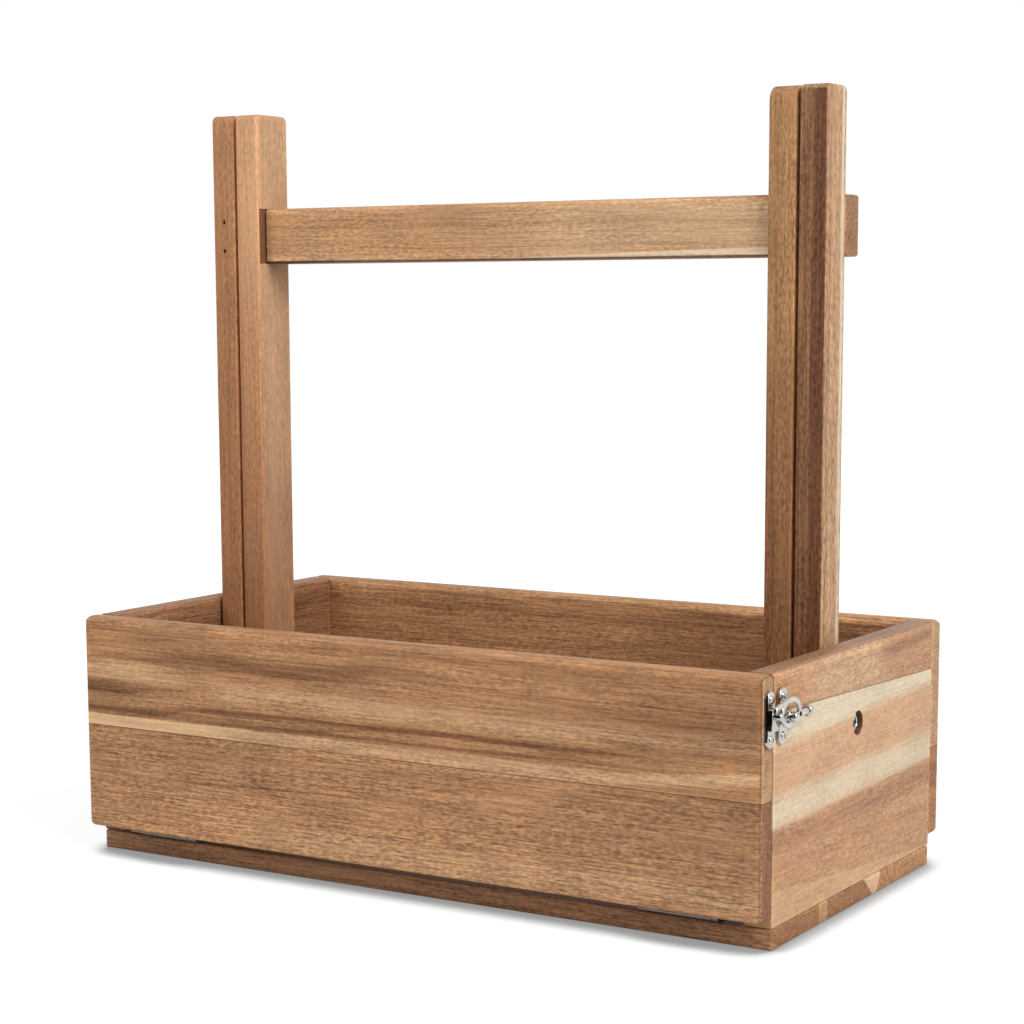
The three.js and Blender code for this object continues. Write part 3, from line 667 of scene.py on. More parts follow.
# The left end panel's tones are darker than its wood alone: partly painted shade, as its inner face lies in
# the box's shade.
left_lower = board(tint(150, 104, 72), 4.9, figure=0.5)
left_upper = board(
    tint(160, 114, 80),
    7.7,
    figure=0.5,
    bands=[
        band(pale_tan, 72.0, 6.0, slope=0.01, soft=4.0, strength=0.6),
        band(deep_brown, 108.0, 4.0, slope=-0.03, soft=6.0, strength=0.6),
    ],
)
left_panel_finish = wood_finish("left end acacia", "Y", [left_lower, left_upper], [glued(66.0, 0.02)])
print("back flap and end panels: three finishes")

# %% Base finish
# Painted shade: a dark strip on the base's top face just inside each flap, where the hinge gap lies in shade.
gap_shade_tone = tint(64, 44, 31)
gap_shade_band = {"soft": 0.6, "wander": 0.1, "strength": 0.85, "span": (-212, 212), "ramp": 6.0}
front_gap_shade = band(gap_shade_tone, -106.8, 2.9, **gap_shade_band)
back_gap_shade = band(gap_shade_tone, 106.8, 2.9, **gap_shade_band)
base_staves = [
    board(tint(166, 119, 83), 1.3, figure=0.5, pores=0.7, ring=5.0, bands=[front_gap_shade]),
    board(pale_tan, 2.9, figure=0.3, fibre=0.6, pores=0.4, ring=5.0),
    board(tint(166, 121, 85), 4.1, figure=0.5, pores=0.6, ring=4.0, pith=(-10.0, 40.0)),
    board(tint(226, 190, 151), 5.7, figure=0.25, fibre=0.5, pores=0.3, ring=5.0),
    board(tint(190, 144, 102), 7.9, figure=0.8, pores=0.6, ring=3.0, pith=(80.0, 30.0), bands=[back_gap_shade]),
]
base_joints = [glued(-50.0), glued(-38.0), glued(24.5, tilt=-1.05), glued(31.0, tilt=0.5)]
base_finish = wood_finish("base acacia", "flat", base_staves, base_joints, end_shade=0.94)
print("base:", len(base_staves), "staves")

# %% [markdown]
# ## Finishes of the carrying frames
# The four bars stand on end, so their grain runs up the Z axis. The right outer bar is the showiest:
# its front face is walnut-dark heartwood, and its side has already turned to tan sapwood with a
# cream stripe. The two crossbars lie along X. The front one has painted shade on its underside and
# a painted highlight along its lower arris.

# %% Frame finishes
right_inner = board(
    tint(152, 104, 68),
    11.2,
    figure=0.45,
    fibre=0.65,
    fleck=1.2,
    pores=0.4,
    wander=5.0,
    bands=[band(tint(178, 132, 87), 0.0, 200.0, soft=1.0, strength=0.9, span=(230, 2000), ramp=120.0)],
)
right_outer = board(
    deep_brown,
    12.6,
    figure=0.6,
    fibre=0.8,
    fleck=1.3,
    pores=0.5,
    wander=4.0,
    bands=[
        band(walnut, -630.5, 12.0, tilt=3.0, soft=8.0, wander=3.0, strength=0.95),
        band(walnut, -598.0, 2.5, tilt=3.0, soft=4.0, wander=2.0, strength=0.6, span=(60, 330)),
        band(walnut, 0.0, 200.0, soft=1.0, strength=0.45, span=(-1000, 290), ramp=130.0),
        band(tint(178, 138, 101), 20.0, 32.1, soft=0.5, wander=0.1),
        band(cream, 8.9, 1.9, soft=1.4, wander=0.5, strength=0.95),
    ],
)
left_outer = board(
    tint(181, 127, 86),
    13.9,
    figure=0.36,
    fibre=0.48,
    fleck=0.85,
    pores=0.35,
    wander=4.0,
    bands=[band(tint(196, 142, 100), 0.0, 200.0, soft=1.0, strength=0.5, span=(330, 2000), ramp=100.0)],
)
left_light = tint(224, 172, 128)
left_inner = board(
    tint(199, 156, 118),
    15.1,
    figure=0.3,
    fibre=0.34,
    fleck=0.65,
    pores=0.35,
    wander=7.0,
    bands=[
        band(tint(198, 142, 99), -13.0, 4.0, soft=2.0, wander=1.0, strength=0.95),
        band(left_light, -13.0, 4.0, soft=2.0, wander=1.0, strength=0.85, span=(280, 2000), ramp=120.0),
        # Darker towards the bottom: partly the board's own tone, partly painted shade where the lower bar
        # stands in shade.
        band(tint(156, 108, 74), 0.0, 200.0, soft=1.0, strength=0.6, span=(-1000, 330), ramp=200.0),
    ],
)
cross_light = tint(218, 180, 140)
cross_cream = tint(234, 206, 175)
underside_shade = {"soft": 0.5, "wander": 0.1}
front_cross = board(
    tint(204, 156, 111),
    16.4,
    figure=0.36,
    fibre=0.62,
    fleck=1.0,
    pores=0.4,
    ring=9.0,
    wander=6.0,
    pith=(300.0, 60.0),
    bands=[
        band(mid_brown, 389.0, 6.0, soft=9.0, wander=2.0, strength=0.6, span=(-150, 30), ramp=60.0),
        band(cross_light, 379.0, 14.0, soft=10.0, strength=0.7, span=(-60, 1000), ramp=130.0),
        # A painted highlight along the lower arris.
        band(tint(206, 172, 142), 362.9, 0.5, soft=0.6, wander=0.1, strength=0.6, span=(-1000, 40)),
        band(cross_cream, 358.0, 4.6, 0.023, soft=1.2, wander=0.4, strength=0.9, span=(-20, 1000)),
        # Painted shade on the underside, darker still towards the left end.
        band(tint(122, 84, 56), 358.0, 4.3, strength=0.9, **underside_shade),
        band(tint(74, 50, 36), 358.0, 4.3, strength=0.8, span=(-1000, -100), **underside_shade),
    ],
)
rear_cross = board(mid_brown, 17.8, figure=0.45, pores=0.6, ring=6.0, pith=(420.0, 60.0))
dowel = board(pale_tan, 19.3, figure=0.2, fibre=0.5, pores=0.2)
right_inner_finish = wood_finish("right inner bar acacia", "Z", [right_inner])
right_outer_finish = wood_finish("right outer bar acacia", "Z", [right_outer])
left_outer_finish = wood_finish("left outer bar acacia", "Z", [left_outer])
left_inner_finish = wood_finish("left inner bar acacia", "Z", [left_inner])
front_crossbar_finish = wood_finish("front crossbar acacia", "X", [front_cross])
rear_crossbar_finish = wood_finish("rear crossbar acacia", "X", [rear_cross], end_shade=0.62)
dowel_finish = wood_finish("dowel wood", "Z", [dowel], edge_amount=0.1)
print("frame finishes: 7 materials")

# %% [markdown]
# ## Metal finishes
# The latches, bolts and nuts are cast or turned and then nickel plated: bright, slightly warm, with
# fine handling marks. The hinges, washers and nails are plain steel with a rolled, greyer surface.
# One group of smudges and hairline scratches serves both, with its own values in each material.

# %% Metal finishes
marks_group, start, end = new_group(
    "handling marks",
    [
        ("Place", "Vector", None),
        ("Smudge Size", "Float", 90.0),
        ("Low", "Float", 0.12),
        ("High", "Float", 0.3),
    ],
    [("Roughness", "Float"), ("Tone", "Float"), ("Height", "Float")],
)
tree = marks_group
smudges = noise(tree, start["Place"], start["Smudge Size"], 3.0, 0.6).outputs[0]
hairs = noise(tree, scaled(tree, start["Place"], (600.0, 4200.0, 900.0)), 1.0, 2.0, 0.7).outputs[0]
hairs = remap(tree, hairs, 0.62, 0.72)
feed(tree, end["Roughness"], remap(tree, smudges, 0.3, 0.7, start["Low"], start["High"]))
feed(tree, end["Tone"], smudges)
feed(tree, end["Height"], maths(tree, "MULTIPLY_ADD", hairs, -0.5, smudges))


def metal_finish(name, bright, dull, low, high, size):
    material, tree, shader = new_material(name)
    place = add(tree, "ShaderNodeTexCoord").outputs["Object"]
    marks = use_group(tree, marks_group, {"Place": place, "Smudge Size": size, "Low": low, "High": high})
    tone = remap(tree, marks["Tone"], 0.3, 0.7)
    feed(tree, shader.inputs["Base Color"], blend_tints(tree, tone, dull, bright))
    feed(tree, shader.inputs["Roughness"], marks["Roughness"])
    bump = add(tree, "ShaderNodeBump", {"Strength": 0.06, "Distance": 0.0001, "Height": marks["Height"]})
    feed(tree, shader.inputs["Normal"], bump.outputs[0])
    shader.inputs["Metallic"].default_value = 1.0
    return material


nickel = metal_finish("nickel plate", (0.61, 0.59, 0.56, 1), (0.48, 0.465, 0.44, 1), 0.06, 0.17, 160.0)
steel = metal_finish("plain steel", (0.30, 0.28, 0.25, 1), (0.20, 0.185, 0.165, 1), 0.36, 0.54, 220.0)
dark_steel = metal_finish("dark nail steel", (0.22, 0.20, 0.18, 1), (0.12, 0.11, 0.10, 1), 0.40, 0.60, 300.0)
print("three metal finishes")

# %% [markdown]
# ## Mesh helpers
# A board is built as a stack of outlines: near each face the outline draws in along a quarter circle,
# so every edge gets a true round with its own radius, and the big faces stay flat. Turned pieces
# are a profile spun round an axis. Holes are cut with an exact Boolean, and the result is kept as a
# plain mesh. Points are given in millimetres, and one within a tenth of a face counts as on it.

# %% Mesh helpers
axis_index = {"X": 0, "Y": 1, "Z": 2}
near = 0.1


def linked(name, data):
    holder = bpy.data.objects.new(name, data)
    bpy.context.scene.collection.objects.link(holder)
    return holder


def keep_mesh(name, points, faces):
    mesh = bpy.data.meshes.new(name)
    mesh.from_pydata([[c * mm for c in p] for p in points], [], faces)
    shape = bmesh.new()
    shape.from_mesh(mesh)
    bmesh.ops.recalc_face_normals(shape, faces=shape.faces)
    shape.to_mesh(mesh)
    shape.free()
    return linked(name, mesh)


def stack_rings(name, axes, rings, levels):
    points = []
    for level, ring in zip(levels, rings):
        for u, v in ring:
            point = [0.0, 0.0, 0.0]
            point[axis_index[axes[0]]] = u
            point[axis_index[axes[1]]] = v
            point[axis_index[axes[2]]] = level
            points.append(point)
    count = len(rings[0])
    faces = [list(range(count)), [len(points) - 1 - k for k in range(count)]]
    for i in range(len(rings) - 1):
        for k in range(count):
            after = (k + 1) % count
            faces.append([i * count + k, i * count + after, (i + 1) * count + after, (i + 1) * count + k])
    return keep_mesh(name, points, faces)


def draw_in(radius, depth):
    if depth >= radius:
        return 0.0
    return radius - math.sqrt(max(radius**2 - (radius - depth) ** 2, 0.0))


def rounded_outline(u, v, insets, corners, steps):
    left, right, bottom, top = insets
    layout = [
        (corners[0], u[0], left, 1, v[0], bottom, 1, 180),
        (corners[1], u[1], right, -1, v[0], bottom, 1, 270),
        (corners[2], u[1], right, -1, v[1], top, -1, 0),
        (corners[3], u[0], left, 1, v[1], top, -1, 90),
    ]
    points = []
    for corner, edge_u, inset_u, turn_u, edge_v, inset_v, turn_v, first in layout:
        reach_u = max(corner, inset_u + 0.05)
        reach_v = max(corner, inset_v + 0.05)
        for k in range(steps + 1):
            angle = math.radians(first + 90 * k / steps)
            points.append(
                (
                    edge_u + turn_u * reach_u + (reach_u - inset_u) * math.cos(angle),
                    edge_v + turn_v * reach_v + (reach_v - inset_v) * math.sin(angle),
                )
            )
    return points


def eased_board(name, axes, u, v, w, corners, ease, steps=6, face_band=2.5):
    depths = {0.0}
    for radius in set(ease):
        for k in range(1, steps + 1):
            depths.add(round(radius * (1 - math.cos(math.radians(90 * k / steps))), 3))
    depths = sorted(depths)
    deepest = depths[-1]
    half = [(0.0, [radius + face_band for radius in ease], 0.0)]
    for depth in depths:
        half.append((depth, [draw_in(radius, depth) for radius in ease], 1 - depth / deepest))
    layers = [(w[0] + depth, insets, wear) for depth, insets, wear in half]
    layers += [(w[1] - depth, insets, wear) for depth, insets, wear in reversed(half)]
    rings = [rounded_outline(u, v, insets, corners, steps) for _, insets, _ in layers]
    piece = stack_rings(name, axes, rings, [level for level, _, _ in layers])
    wear_values = np.repeat([wear for _, _, wear in layers], len(rings[0]))
    attribute = piece.data.attributes.new("edge", "FLOAT", "POINT")
    attribute.data.foreach_set("value", wear_values.astype(np.float32))
    return piece


def turned(name, axis, centre, profile, sides=48, closed=False):
    order = {"X": ("Y", "Z"), "Y": ("Z", "X"), "Z": ("X", "Y")}[axis]
    points = []
    rings = []
    for along, radius in profile:
        ring = []
        for k in range(1 if radius == 0 else sides):
            angle = 2 * math.pi * k / sides
            point = list(centre)
            point[axis_index[axis]] += along
            point[axis_index[order[0]]] += radius * math.cos(angle)
            point[axis_index[order[1]]] += radius * math.sin(angle)
            ring.append(len(points))
            points.append(point)
        rings.append(ring)
    faces = []
    pairs = list(zip(rings, rings[1:]))
    if closed:
        pairs.append((rings[-1], rings[0]))
    for low, high in pairs:
        for k in range(sides):
            after = (k + 1) % sides
            corners = [low[k % len(low)], low[after % len(low)], high[after % len(high)], high[k % len(high)]]
            faces.append(list(dict.fromkeys(corners)))
    return keep_mesh(name, points, faces)


def keep_result(piece, all_layers):
    bpy.context.view_layer.update()
    graph = bpy.context.evaluated_depsgraph_get()
    result = piece.evaluated_get(graph)
    made = bpy.data.meshes.new_from_object(result, preserve_all_data_layers=all_layers, depsgraph=graph)
    piece.modifiers.clear()
    piece.data = made


def combine(piece, others, operation):
    for other in others:
        step = piece.modifiers.new("combine", "BOOLEAN")
        step.operation = operation
        step.solver = "EXACT"
        step.object = other
    keep_result(piece, True)
    for other in others:
        bpy.data.objects.remove(other)
    return piece


def cutter_rod(axis, centre, radius, start, stop, sides=40):
    return turned("cutter", axis, centre, [(start, 0), (start, radius), (stop, radius), (stop, 0)], sides)


def paint(piece, material):
    piece.data.materials.clear()
    piece.data.materials.append(material)


def smooth(piece, angle):
    piece.data.shade_smooth()
    piece.data.set_sharp_from_angle(angle=math.radians(angle))


def shade_recess(piece, shade_at):
    recess = piece.data.attributes.new("recess", "FLOAT", "POINT")
    for i, vertex in enumerate(piece.data.vertices):
        recess.data[i].value = shade_at(*(vertex.co / mm))


def dress(piece, node, material, angle=32):
    paint(piece, material)
    smooth(piece, angle)
    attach(piece, body_of_node[node])
    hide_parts(node)
    return piece


def millimetres(node):
    low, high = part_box(node)
    return [c / mm for c in low], [c / mm for c in high]


def boxed_board(node, axes, corners, ease):
    low, high = millimetres(node)
    spans = [(low[axis_index[axis]], high[axis_index[axis]]) for axis in axes]
    return eased_board(node + "_dressed", axes, *spans, corners, ease)


def sharp_block(axes, u, v, w, corner=0.2, ease=0.1):
    return eased_board("cutter", axes, u, v, w, [corner] * 4, [ease] * 4, 1, 0.5)


print("mesh helpers ready")

# %% [markdown]
# ## The box: base, end panels and flaps
# The boards of the box are flat, so each is one eased board. The base and the end panels are bored
# for the dowels that hold them together, and the end panels for the pivot bolt, with a wide shallow
# counterbore for its head. The flaps have rounder top edges, where hands open them.

# %% Base board
base = boxed_board("base_board", "XYZ", [1.5] * 4, [1.2] * 4)
dowel_nodes = [n for n in frame["nodes"] if n.endswith("box_dowel")]
dowel_places = []
for node in dowel_nodes:
    dowel_low, dowel_high = millimetres(node)
    dowel_places.append(((dowel_low[0] + dowel_high[0]) / 2, (dowel_low[1] + dowel_high[1]) / 2))
dowel_hole = 3.4
dowel_hole_z = (2.2, 32.1)
cutters = [cutter_rod("Z", (x, y, 0), dowel_hole, dowel_hole_z[0], 20.0, 16) for x, y in dowel_places]
combine(base, cutters, "DIFFERENCE")
dress(base, "base_board", base_finish)
for node in dowel_nodes:
    paint(frame["nodes"][node], dowel_finish)
print("base board:", len(base.data.polygons), "faces,", len(dowel_places), "dowel holes")

# %% End panels
panel_face = 228.5
pivot_z = 104.0
bolt_hole = 3.4
counterbore_depth = 7.3
counterbore_radius = 6.8
counterbore_chamfer = 0.25
hook_y = -103.8
catch_y = -118.45
latch_screws_z = (114.0, 135.0)
latch_screw_hole = 1.6
latch_screw_depth = 8.3


def latch_screw_holes(sign, y):
    holes = []
    for z in latch_screws_z:
        mouth = (sign * panel_face, sign * y, z)
        holes.append(cutter_rod("X", mouth, latch_screw_hole, -latch_screw_depth, latch_screw_depth, 20))
    return holes


def end_panel(side, sign, material):
    node = side + "_end_panel"
    panel = boxed_board(node, "YZX", [1.0] * 4, [0.9, 0.9, 0.8, 3.5])
    bore = [(-17.0, 0), (-17.0, bolt_hole)]
    bore += [(-counterbore_depth, bolt_hole), (-counterbore_depth, counterbore_radius)]
    bore += [(-counterbore_chamfer, counterbore_radius)]
    bore += [(1.0, counterbore_radius + counterbore_chamfer + 1.0), (1.0, 0)]
    bore = [(sign * along, radius) for along, radius in bore]
    cutters = [turned("cutter", "X", (sign * panel_face, 0, pivot_z), bore, 56)]
    for x, y in dowel_places:
        if x * sign > 0:
            cutters.append(cutter_rod("Z", (x, y, 0), dowel_hole, 5.0, dowel_hole_z[1], 16))
    combine(panel, cutters + latch_screw_holes(sign, hook_y), "DIFFERENCE")

    # The walls and floor of the counterbore get painted shade.
    def bored(x, y, z):
        in_bore = math.hypot(y, z - pivot_z) < counterbore_radius + near
        return 1.0 if in_bore and abs(x) < panel_face - near else 0.0

    shade_recess(panel, bored)
    return dress(panel, node, material)


panels = [end_panel("right", 1, right_panel_finish), end_panel("left", -1, left_panel_finish)]
print("end panels:", [len(panel.data.polygons) for panel in panels], "faces")

# %% Flaps
for face, sign, material in (("front", 1, front_flap_finish), ("back", -1, back_flap_finish)):
    node = face + "_flap"
    flap = boxed_board(node, "XZY", [3.2] * 4, [1.5, 1.5, 1.6, 4.0])
    combine(flap, latch_screw_holes(sign, catch_y), "DIFFERENCE")
    dress(flap, node, material)
    print(node, "has", len(flap.data.polygons), "faces")

# %% [markdown]
# ## The carrying frames
# Each frame is two bars and a crossbar. The bars are rounded at the top, and well rounded at the
# tail, where they swing in the box. The front crossbar is tenoned between the inner bars, in a very
# shallow housing whose floor beside it is darkened with painted shade. The rear crossbar is nailed
# across the backs of the outer bars and notched round the deeper inner ones. The nails show as two
# dark dots in the left bar; in the right one they lie under filler.

# %% Bars and crossbars
nail_places = (387.0, 369.0)
crossbar_z = (361.0, 395.0)
crossbar_y = (-4.2, 11.8)
housing_depth = 0.8
housing_rim = 1.6
housing_shade = 0.9
tenon_z = (368.0, 388.0)
tenon_y = (-0.2, 7.8)
tenon_play = 0.3
mortise_depth = 10.3
shoulders_x = (-175.2, 175.2)
notch_x = (174.5, 193.0)
notch_z = (350.0, 405.0)
notch_y = (5.0, 19.8)
nail_hole = 1.4
outer_bar_x = 202.25
nail_mouth = {"left": -30.0, "right": -11.2}


def frame_bar(side, kind, sign, material, front_round):
    node = side + "_" + kind + "_bar"
    low, high = millimetres(node)
    piece = boxed_board(node, "YZX", [10.0, 10.0, 4.0, front_round], [1.3] * 4)
    middle = (low[0] + high[0]) / 2
    cutters = [cutter_rod("X", (middle, 0, pivot_z), bolt_hole, -15.0, 15.0)]
    if kind == "outer":
        for z in nail_places:
            cutters.append(cutter_rod("Y", (middle, 0, z), nail_hole, nail_mouth[side], 30.0, 20))
    else:
        inner_face = low[0] if sign > 0 else high[0]
        mortise_x = sorted((inner_face - sign, inner_face + sign * mortise_depth))
        mortise_z = (tenon_z[0] - tenon_play, tenon_z[1] + tenon_play)
        mortise_y = (tenon_y[0] - tenon_play, tenon_y[1] + tenon_play)
        cutters.append(sharp_block("XZY", mortise_x, mortise_z, mortise_y))
        floor_x = inner_face + sign * housing_depth
        housing_x = sorted((inner_face - sign, floor_x))
        housing_y = (low[1] + housing_rim, crossbar_y[1])
        cutters.append(sharp_block("XZY", housing_x, crossbar_z, housing_y, 0.02, 0.02))
    combine(piece, cutters, "DIFFERENCE")

    # The housing floor beside the crossbar gets painted shade.
    def housed(x, y, z):
        beside_crossbar = crossbar_z[0] - near < z < crossbar_z[1] + near
        return housing_shade if beside_crossbar and abs(x - floor_x) < near else 0.0

    if kind == "inner":
        shade_recess(piece, housed)
    return dress(piece, node, material)


bars = [
    frame_bar("right", "inner", 1, right_inner_finish, 8.0),
    frame_bar("right", "outer", 1, right_outer_finish, 4.0),
    frame_bar("left", "inner", -1, left_inner_finish, 4.0),
    frame_bar("left", "outer", -1, left_outer_finish, 4.0),
]

low, high = millimetres("front_crossbar")
ease = [0.4, 0.4, 3.0, 3.0]
front_crossbar = eased_board(
    "front_crossbar_dressed", "XZY", shoulders_x, crossbar_z, crossbar_y, [0.5] * 4, ease
)
tenon = eased_board("tenon", "XZY", (low[0], high[0]), tenon_z, tenon_y, [0.5] * 4, [0.3] * 4, 2)
combine(front_crossbar, [tenon], "UNION")
dress(front_crossbar, "front_crossbar", front_crossbar_finish)

rear_crossbar = boxed_board("rear_crossbar", "XZY", [0.8] * 4, [0.6, 0.6, 3.0, 3.0])
cutters = []
for sign in (1, -1):
    cutters.append(sharp_block("XZY", sorted(sign * x for x in notch_x), notch_z, notch_y))
    for z in nail_places:
        cutters.append(cutter_rod("Y", (sign * outer_bar_x, 0, z), nail_hole, 5.0, 26.1, 20))
combine(rear_crossbar, cutters, "DIFFERENCE")
dress(rear_crossbar, "rear_crossbar", rear_crossbar_finish)
for node in frame["nodes"]:
    if node.endswith("crossbar_nail"):
        paint(frame["nodes"][node], dark_steel)
print("frames:", len(bars), "bars and two crossbars")

# %% [markdown]
# ## Pivot hardware
# Each pair of bars turns on one bolt with a socket head. The head is a turned cylinder with a soft
# chamfer, and its six-sided socket is cut out of it. Round washers keep the bars apart, and a
# domed nut closes the inner end. All of them are turned shapes, so the lathe helper makes them.

# %% Bolts, washers and nuts


def pivot_set(side, sign):
    centre = (0, 0, pivot_z)

    def along(pairs):
        return [(sign * a, r) for a, r in pairs]

    shank = [(168.5, 0), (168.5, 2.6), (169.0, 3.0), (221.5, 3.0)]
    head = [(221.5, 6.2), (221.7, 6.4), (225.9, 6.4), (226.2, 6.3), (226.4, 6.1), (226.5, 5.8)]
    mouth = [(226.5, 3.5), (226.1, 3.1), (226.1, 0)]
    bolt = turned(side + "_pivot_bolt_dressed", "X", centre, along(shank + head + mouth), 64)
    socket = along([(223.3, 0), (223.7, 2.9), (227.5, 2.9), (227.5, 0)])
    combine(bolt, [turned("cutter", "X", centre, socket, 6)], "DIFFERENCE")
    dress(bolt, side + "_pivot_bolt", nickel)

    for label, face in (("panel", 212.2), ("bar", 193.7), ("nut", 175.2)):
        node = side + "_" + label + "_washer"
        inner = face - 1.4
        ring = [(inner, bolt_hole), (inner, 7.7), (inner + 0.2, 8.0)]
        ring += [(face - 0.2, 8.0), (face, 7.7), (face, bolt_hole)]
        washer = turned(node + "_dressed", "X", centre, along(ring), 56, closed=True)
        dress(washer, node, steel)

    hexagon = [(168.3, 0), (168.3, 5.2), (168.7, 5.8), (173.1, 5.8), (173.5, 5.3), (173.5, 0)]
    nut = turned(side + "_pivot_nut_dressed", "X", centre, along(hexagon), 6)
    dome = [(168.9, 0), (168.9, 4.6)]
    for k in range(9):
        angle = math.radians(90 * k / 9)
        dome.append((168.4 - 3.1 * math.sin(angle), 4.6 * math.cos(angle)))
    dome.append((165.3, 0))
    combine(nut, [turned("dome", "X", centre, along(dome), 40)], "UNION")
    combine(nut, [cutter_rod("X", centre, 3.3, sign * 167.0, sign * 175.0, 24)], "DIFFERENCE")
    dress(nut, side + "_pivot_nut", nickel)


pivot_set("right", 1)
pivot_set("left", -1)
print("pivot hardware: two bolts, six washers, two domed nuts")

# %% [markdown]
# ## Hinges and latches
# Four butt hinges carry the flaps, and two hook latches keep them shut, each at the right-hand end of
# its flap. One corner is modelled, at the right end of the front, and mirrored to the others. A
# mirror turns a mesh inside out, so its faces are turned back after it. Plates are outlines with a
# small eased edge; the hook is a band swept along an ellipse and along an arm, and turned pieces make
# its hub, stem and knob.

# %% Plate and sweep helpers


def unit_rows(steps):
    return steps / np.linalg.norm(steps, axis=1)[:, None]


def eased_plate(name, axes, outline, w, ease, steps=3):
    outline = np.array(outline, float)
    before = unit_rows(outline - np.roll(outline, 1, axis=0))
    after = unit_rows(np.roll(outline, -1, axis=0) - outline)
    inward = np.stack([-(before + after)[:, 1], (before + after)[:, 0]], axis=1)
    inward /= np.maximum((inward**2).sum(axis=1) / 2, 0.4)[:, None]
    depths = [ease * (1 - math.cos(math.radians(90 * k / steps))) for k in range(steps + 1)]
    levels = [w[0] + depth for depth in depths] + [w[1] - depth for depth in reversed(depths)]
    rings = [outline + inward * draw_in(ease, depth) for depth in depths]
    rings += list(reversed(rings))
    return stack_rings(name, axes, rings, levels)


def stadium(middle, half, bottom, top, steps=14):
    points = []
    for centre, first in ((bottom + half, 180), (top - half, 0)):
        for k in range(steps + 1):
            angle = math.radians(first + 180 * k / steps)
            points.append((middle + half * math.cos(angle), centre + half * math.sin(angle)))
    return points


def swept_band(name, path, half_width, x, corner, closed):
    path = np.array(path, float)
    ahead = np.roll(path, -1, axis=0) - path
    behind = path - np.roll(path, 1, axis=0)
    if not closed:
        ahead[-1] = behind[-1]
        behind[0] = ahead[0]
    tangent = unit_rows(unit_rows(ahead) + unit_rows(behind))
    normal = np.stack([-tangent[:, 1], tangent[:, 0]], axis=1)
    section = rounded_outline((-1.0, 1.0), x, (0, 0, 0, 0), [corner] * 4, 3)
    points = []
    for place, side, half in zip(path, normal, half_width):
        for share, level in section:
            y, z = place + side * share * half
            points.append((level, y, z))
    count = len(section)
    total = len(path)
    faces = []
    for i in range(total if closed else total - 1):
        for k in range(count):
            a = i * count
            b = ((i + 1) % total) * count
            faces.append([a + k, a + (k + 1) % count, b + (k + 1) % count, b + k])
    if not closed:
        faces.append(list(range(count)))
        faces.append([len(points) - 1 - k for k in range(count)])
    return keep_mesh(name, points, faces)


def mirror_piece(piece, sign_x, sign_y):
    shape = bmesh.new()
    shape.from_mesh(piece.data)
    for vertex in shape.verts:
        vertex.co.x *= sign_x
        vertex.co.y *= sign_y
    if sign_x * sign_y < 0:
        bmesh.ops.reverse_faces(shape, faces=shape.faces)
    shape.to_mesh(piece.data)
    shape.free()
    return piece


corners = []
for face, sign_y in (("front", 1), ("back", -1)):
    for side, sign_x in (("right", 1), ("left", -1)):
        corners.append((face + "_" + side, sign_x, sign_y))
print("plate and sweep helpers ready for", len(corners), "corners")

# %% Hinges
hinge_x = (154.2, 198.2)
hinge_y = -110.4
hinge_z = 14.3
knuckle_count = 5
knuckle_gap = 0.4
knuckle_length = (hinge_x[1] - hinge_x[0] - (knuckle_count - 1) * knuckle_gap) / knuckle_count
hinge_screws_x = (161.2, 191.2)
base_leaf_y = (-107.5, -99.4)
base_leaf_z = (11.8, 12.6)
base_tab_y = (hinge_y, -107.0)
flap_leaf_y = (-121.4, -113.3)
flap_leaf_z = (15.9, 16.7)
flap_tab_y = (-113.8, hinge_y)
knuckle_radius = 2.4
pin_radius = 1.2
pin_hole = 1.5


def eased_rod(name, x, radius, lead, sides):
    profile = [(x[0], 0), (x[0], radius - 0.2), (x[0] + lead, radius)]
    profile += [(x[1] - lead, radius), (x[1], radius - 0.2), (x[1], 0)]
    return turned(name, "X", (0, hinge_y, hinge_z), profile, sides)


def hinge_leaf(name, y, z, tab_y, first):
    leaf = eased_board(name, "XYZ", hinge_x, y, z, [1.4] * 4, [0.15] * 4, 3, 0.4)
    parts = []
    for i in range(first, knuckle_count, 2):
        begin = hinge_x[0] + i * (knuckle_length + knuckle_gap)
        x = (begin, begin + knuckle_length)
        parts.append(eased_rod("knuckle", x, knuckle_radius, 0.2, 32))
        parts.append(eased_board("tab", "XYZ", x, tab_y, z, [0.1] * 4, [0.08] * 4, 1, 0.2))
    combine(leaf, parts, "UNION")
    holes = [cutter_rod("X", (0, hinge_y, hinge_z), pin_hole, 150.0, 203.0, 24)]
    for x in hinge_screws_x:
        holes.append(cutter_rod("Z", (x, sum(y) / 2, 0), 1.5, 8.0, 20.0, 20))
    return combine(leaf, holes, "DIFFERENCE")


for label, sign_x, sign_y in corners:
    leaf = label + "_hinge_base_leaf"
    parts = [(leaf, hinge_leaf(leaf + "_dressed", base_leaf_y, base_leaf_z, base_tab_y, 0))]
    leaf = label + "_hinge_flap_leaf"
    parts.append((leaf, hinge_leaf(leaf + "_dressed", flap_leaf_y, flap_leaf_z, flap_tab_y, 1)))
    pin = label + "_hinge_pin"
    parts.append((pin, eased_rod(pin + "_dressed", hinge_x, pin_radius, 0.3, 24)))
    for node, piece in parts:
        mirror_piece(piece, sign_x, sign_y)
        dress(piece, node, steel)
print("hinges: four, each two leaves and a pin")

# %% Latches
latch_seat = 228.8
plate_face = 230.9
latch_z = 124.5
post_z = 126.5


def latch_plate(name, middle, width):
    outline = stadium(middle, width / 2, latch_z - 15.0, latch_z + 15.0)
    return eased_plate(name, "YZX", outline, (latch_seat, plate_face), 0.6)


def plate_holes(middle):
    return [cutter_rod("X", (0, middle, z), latch_screw_hole, 225.0, 235.0, 24) for z in latch_screws_z]


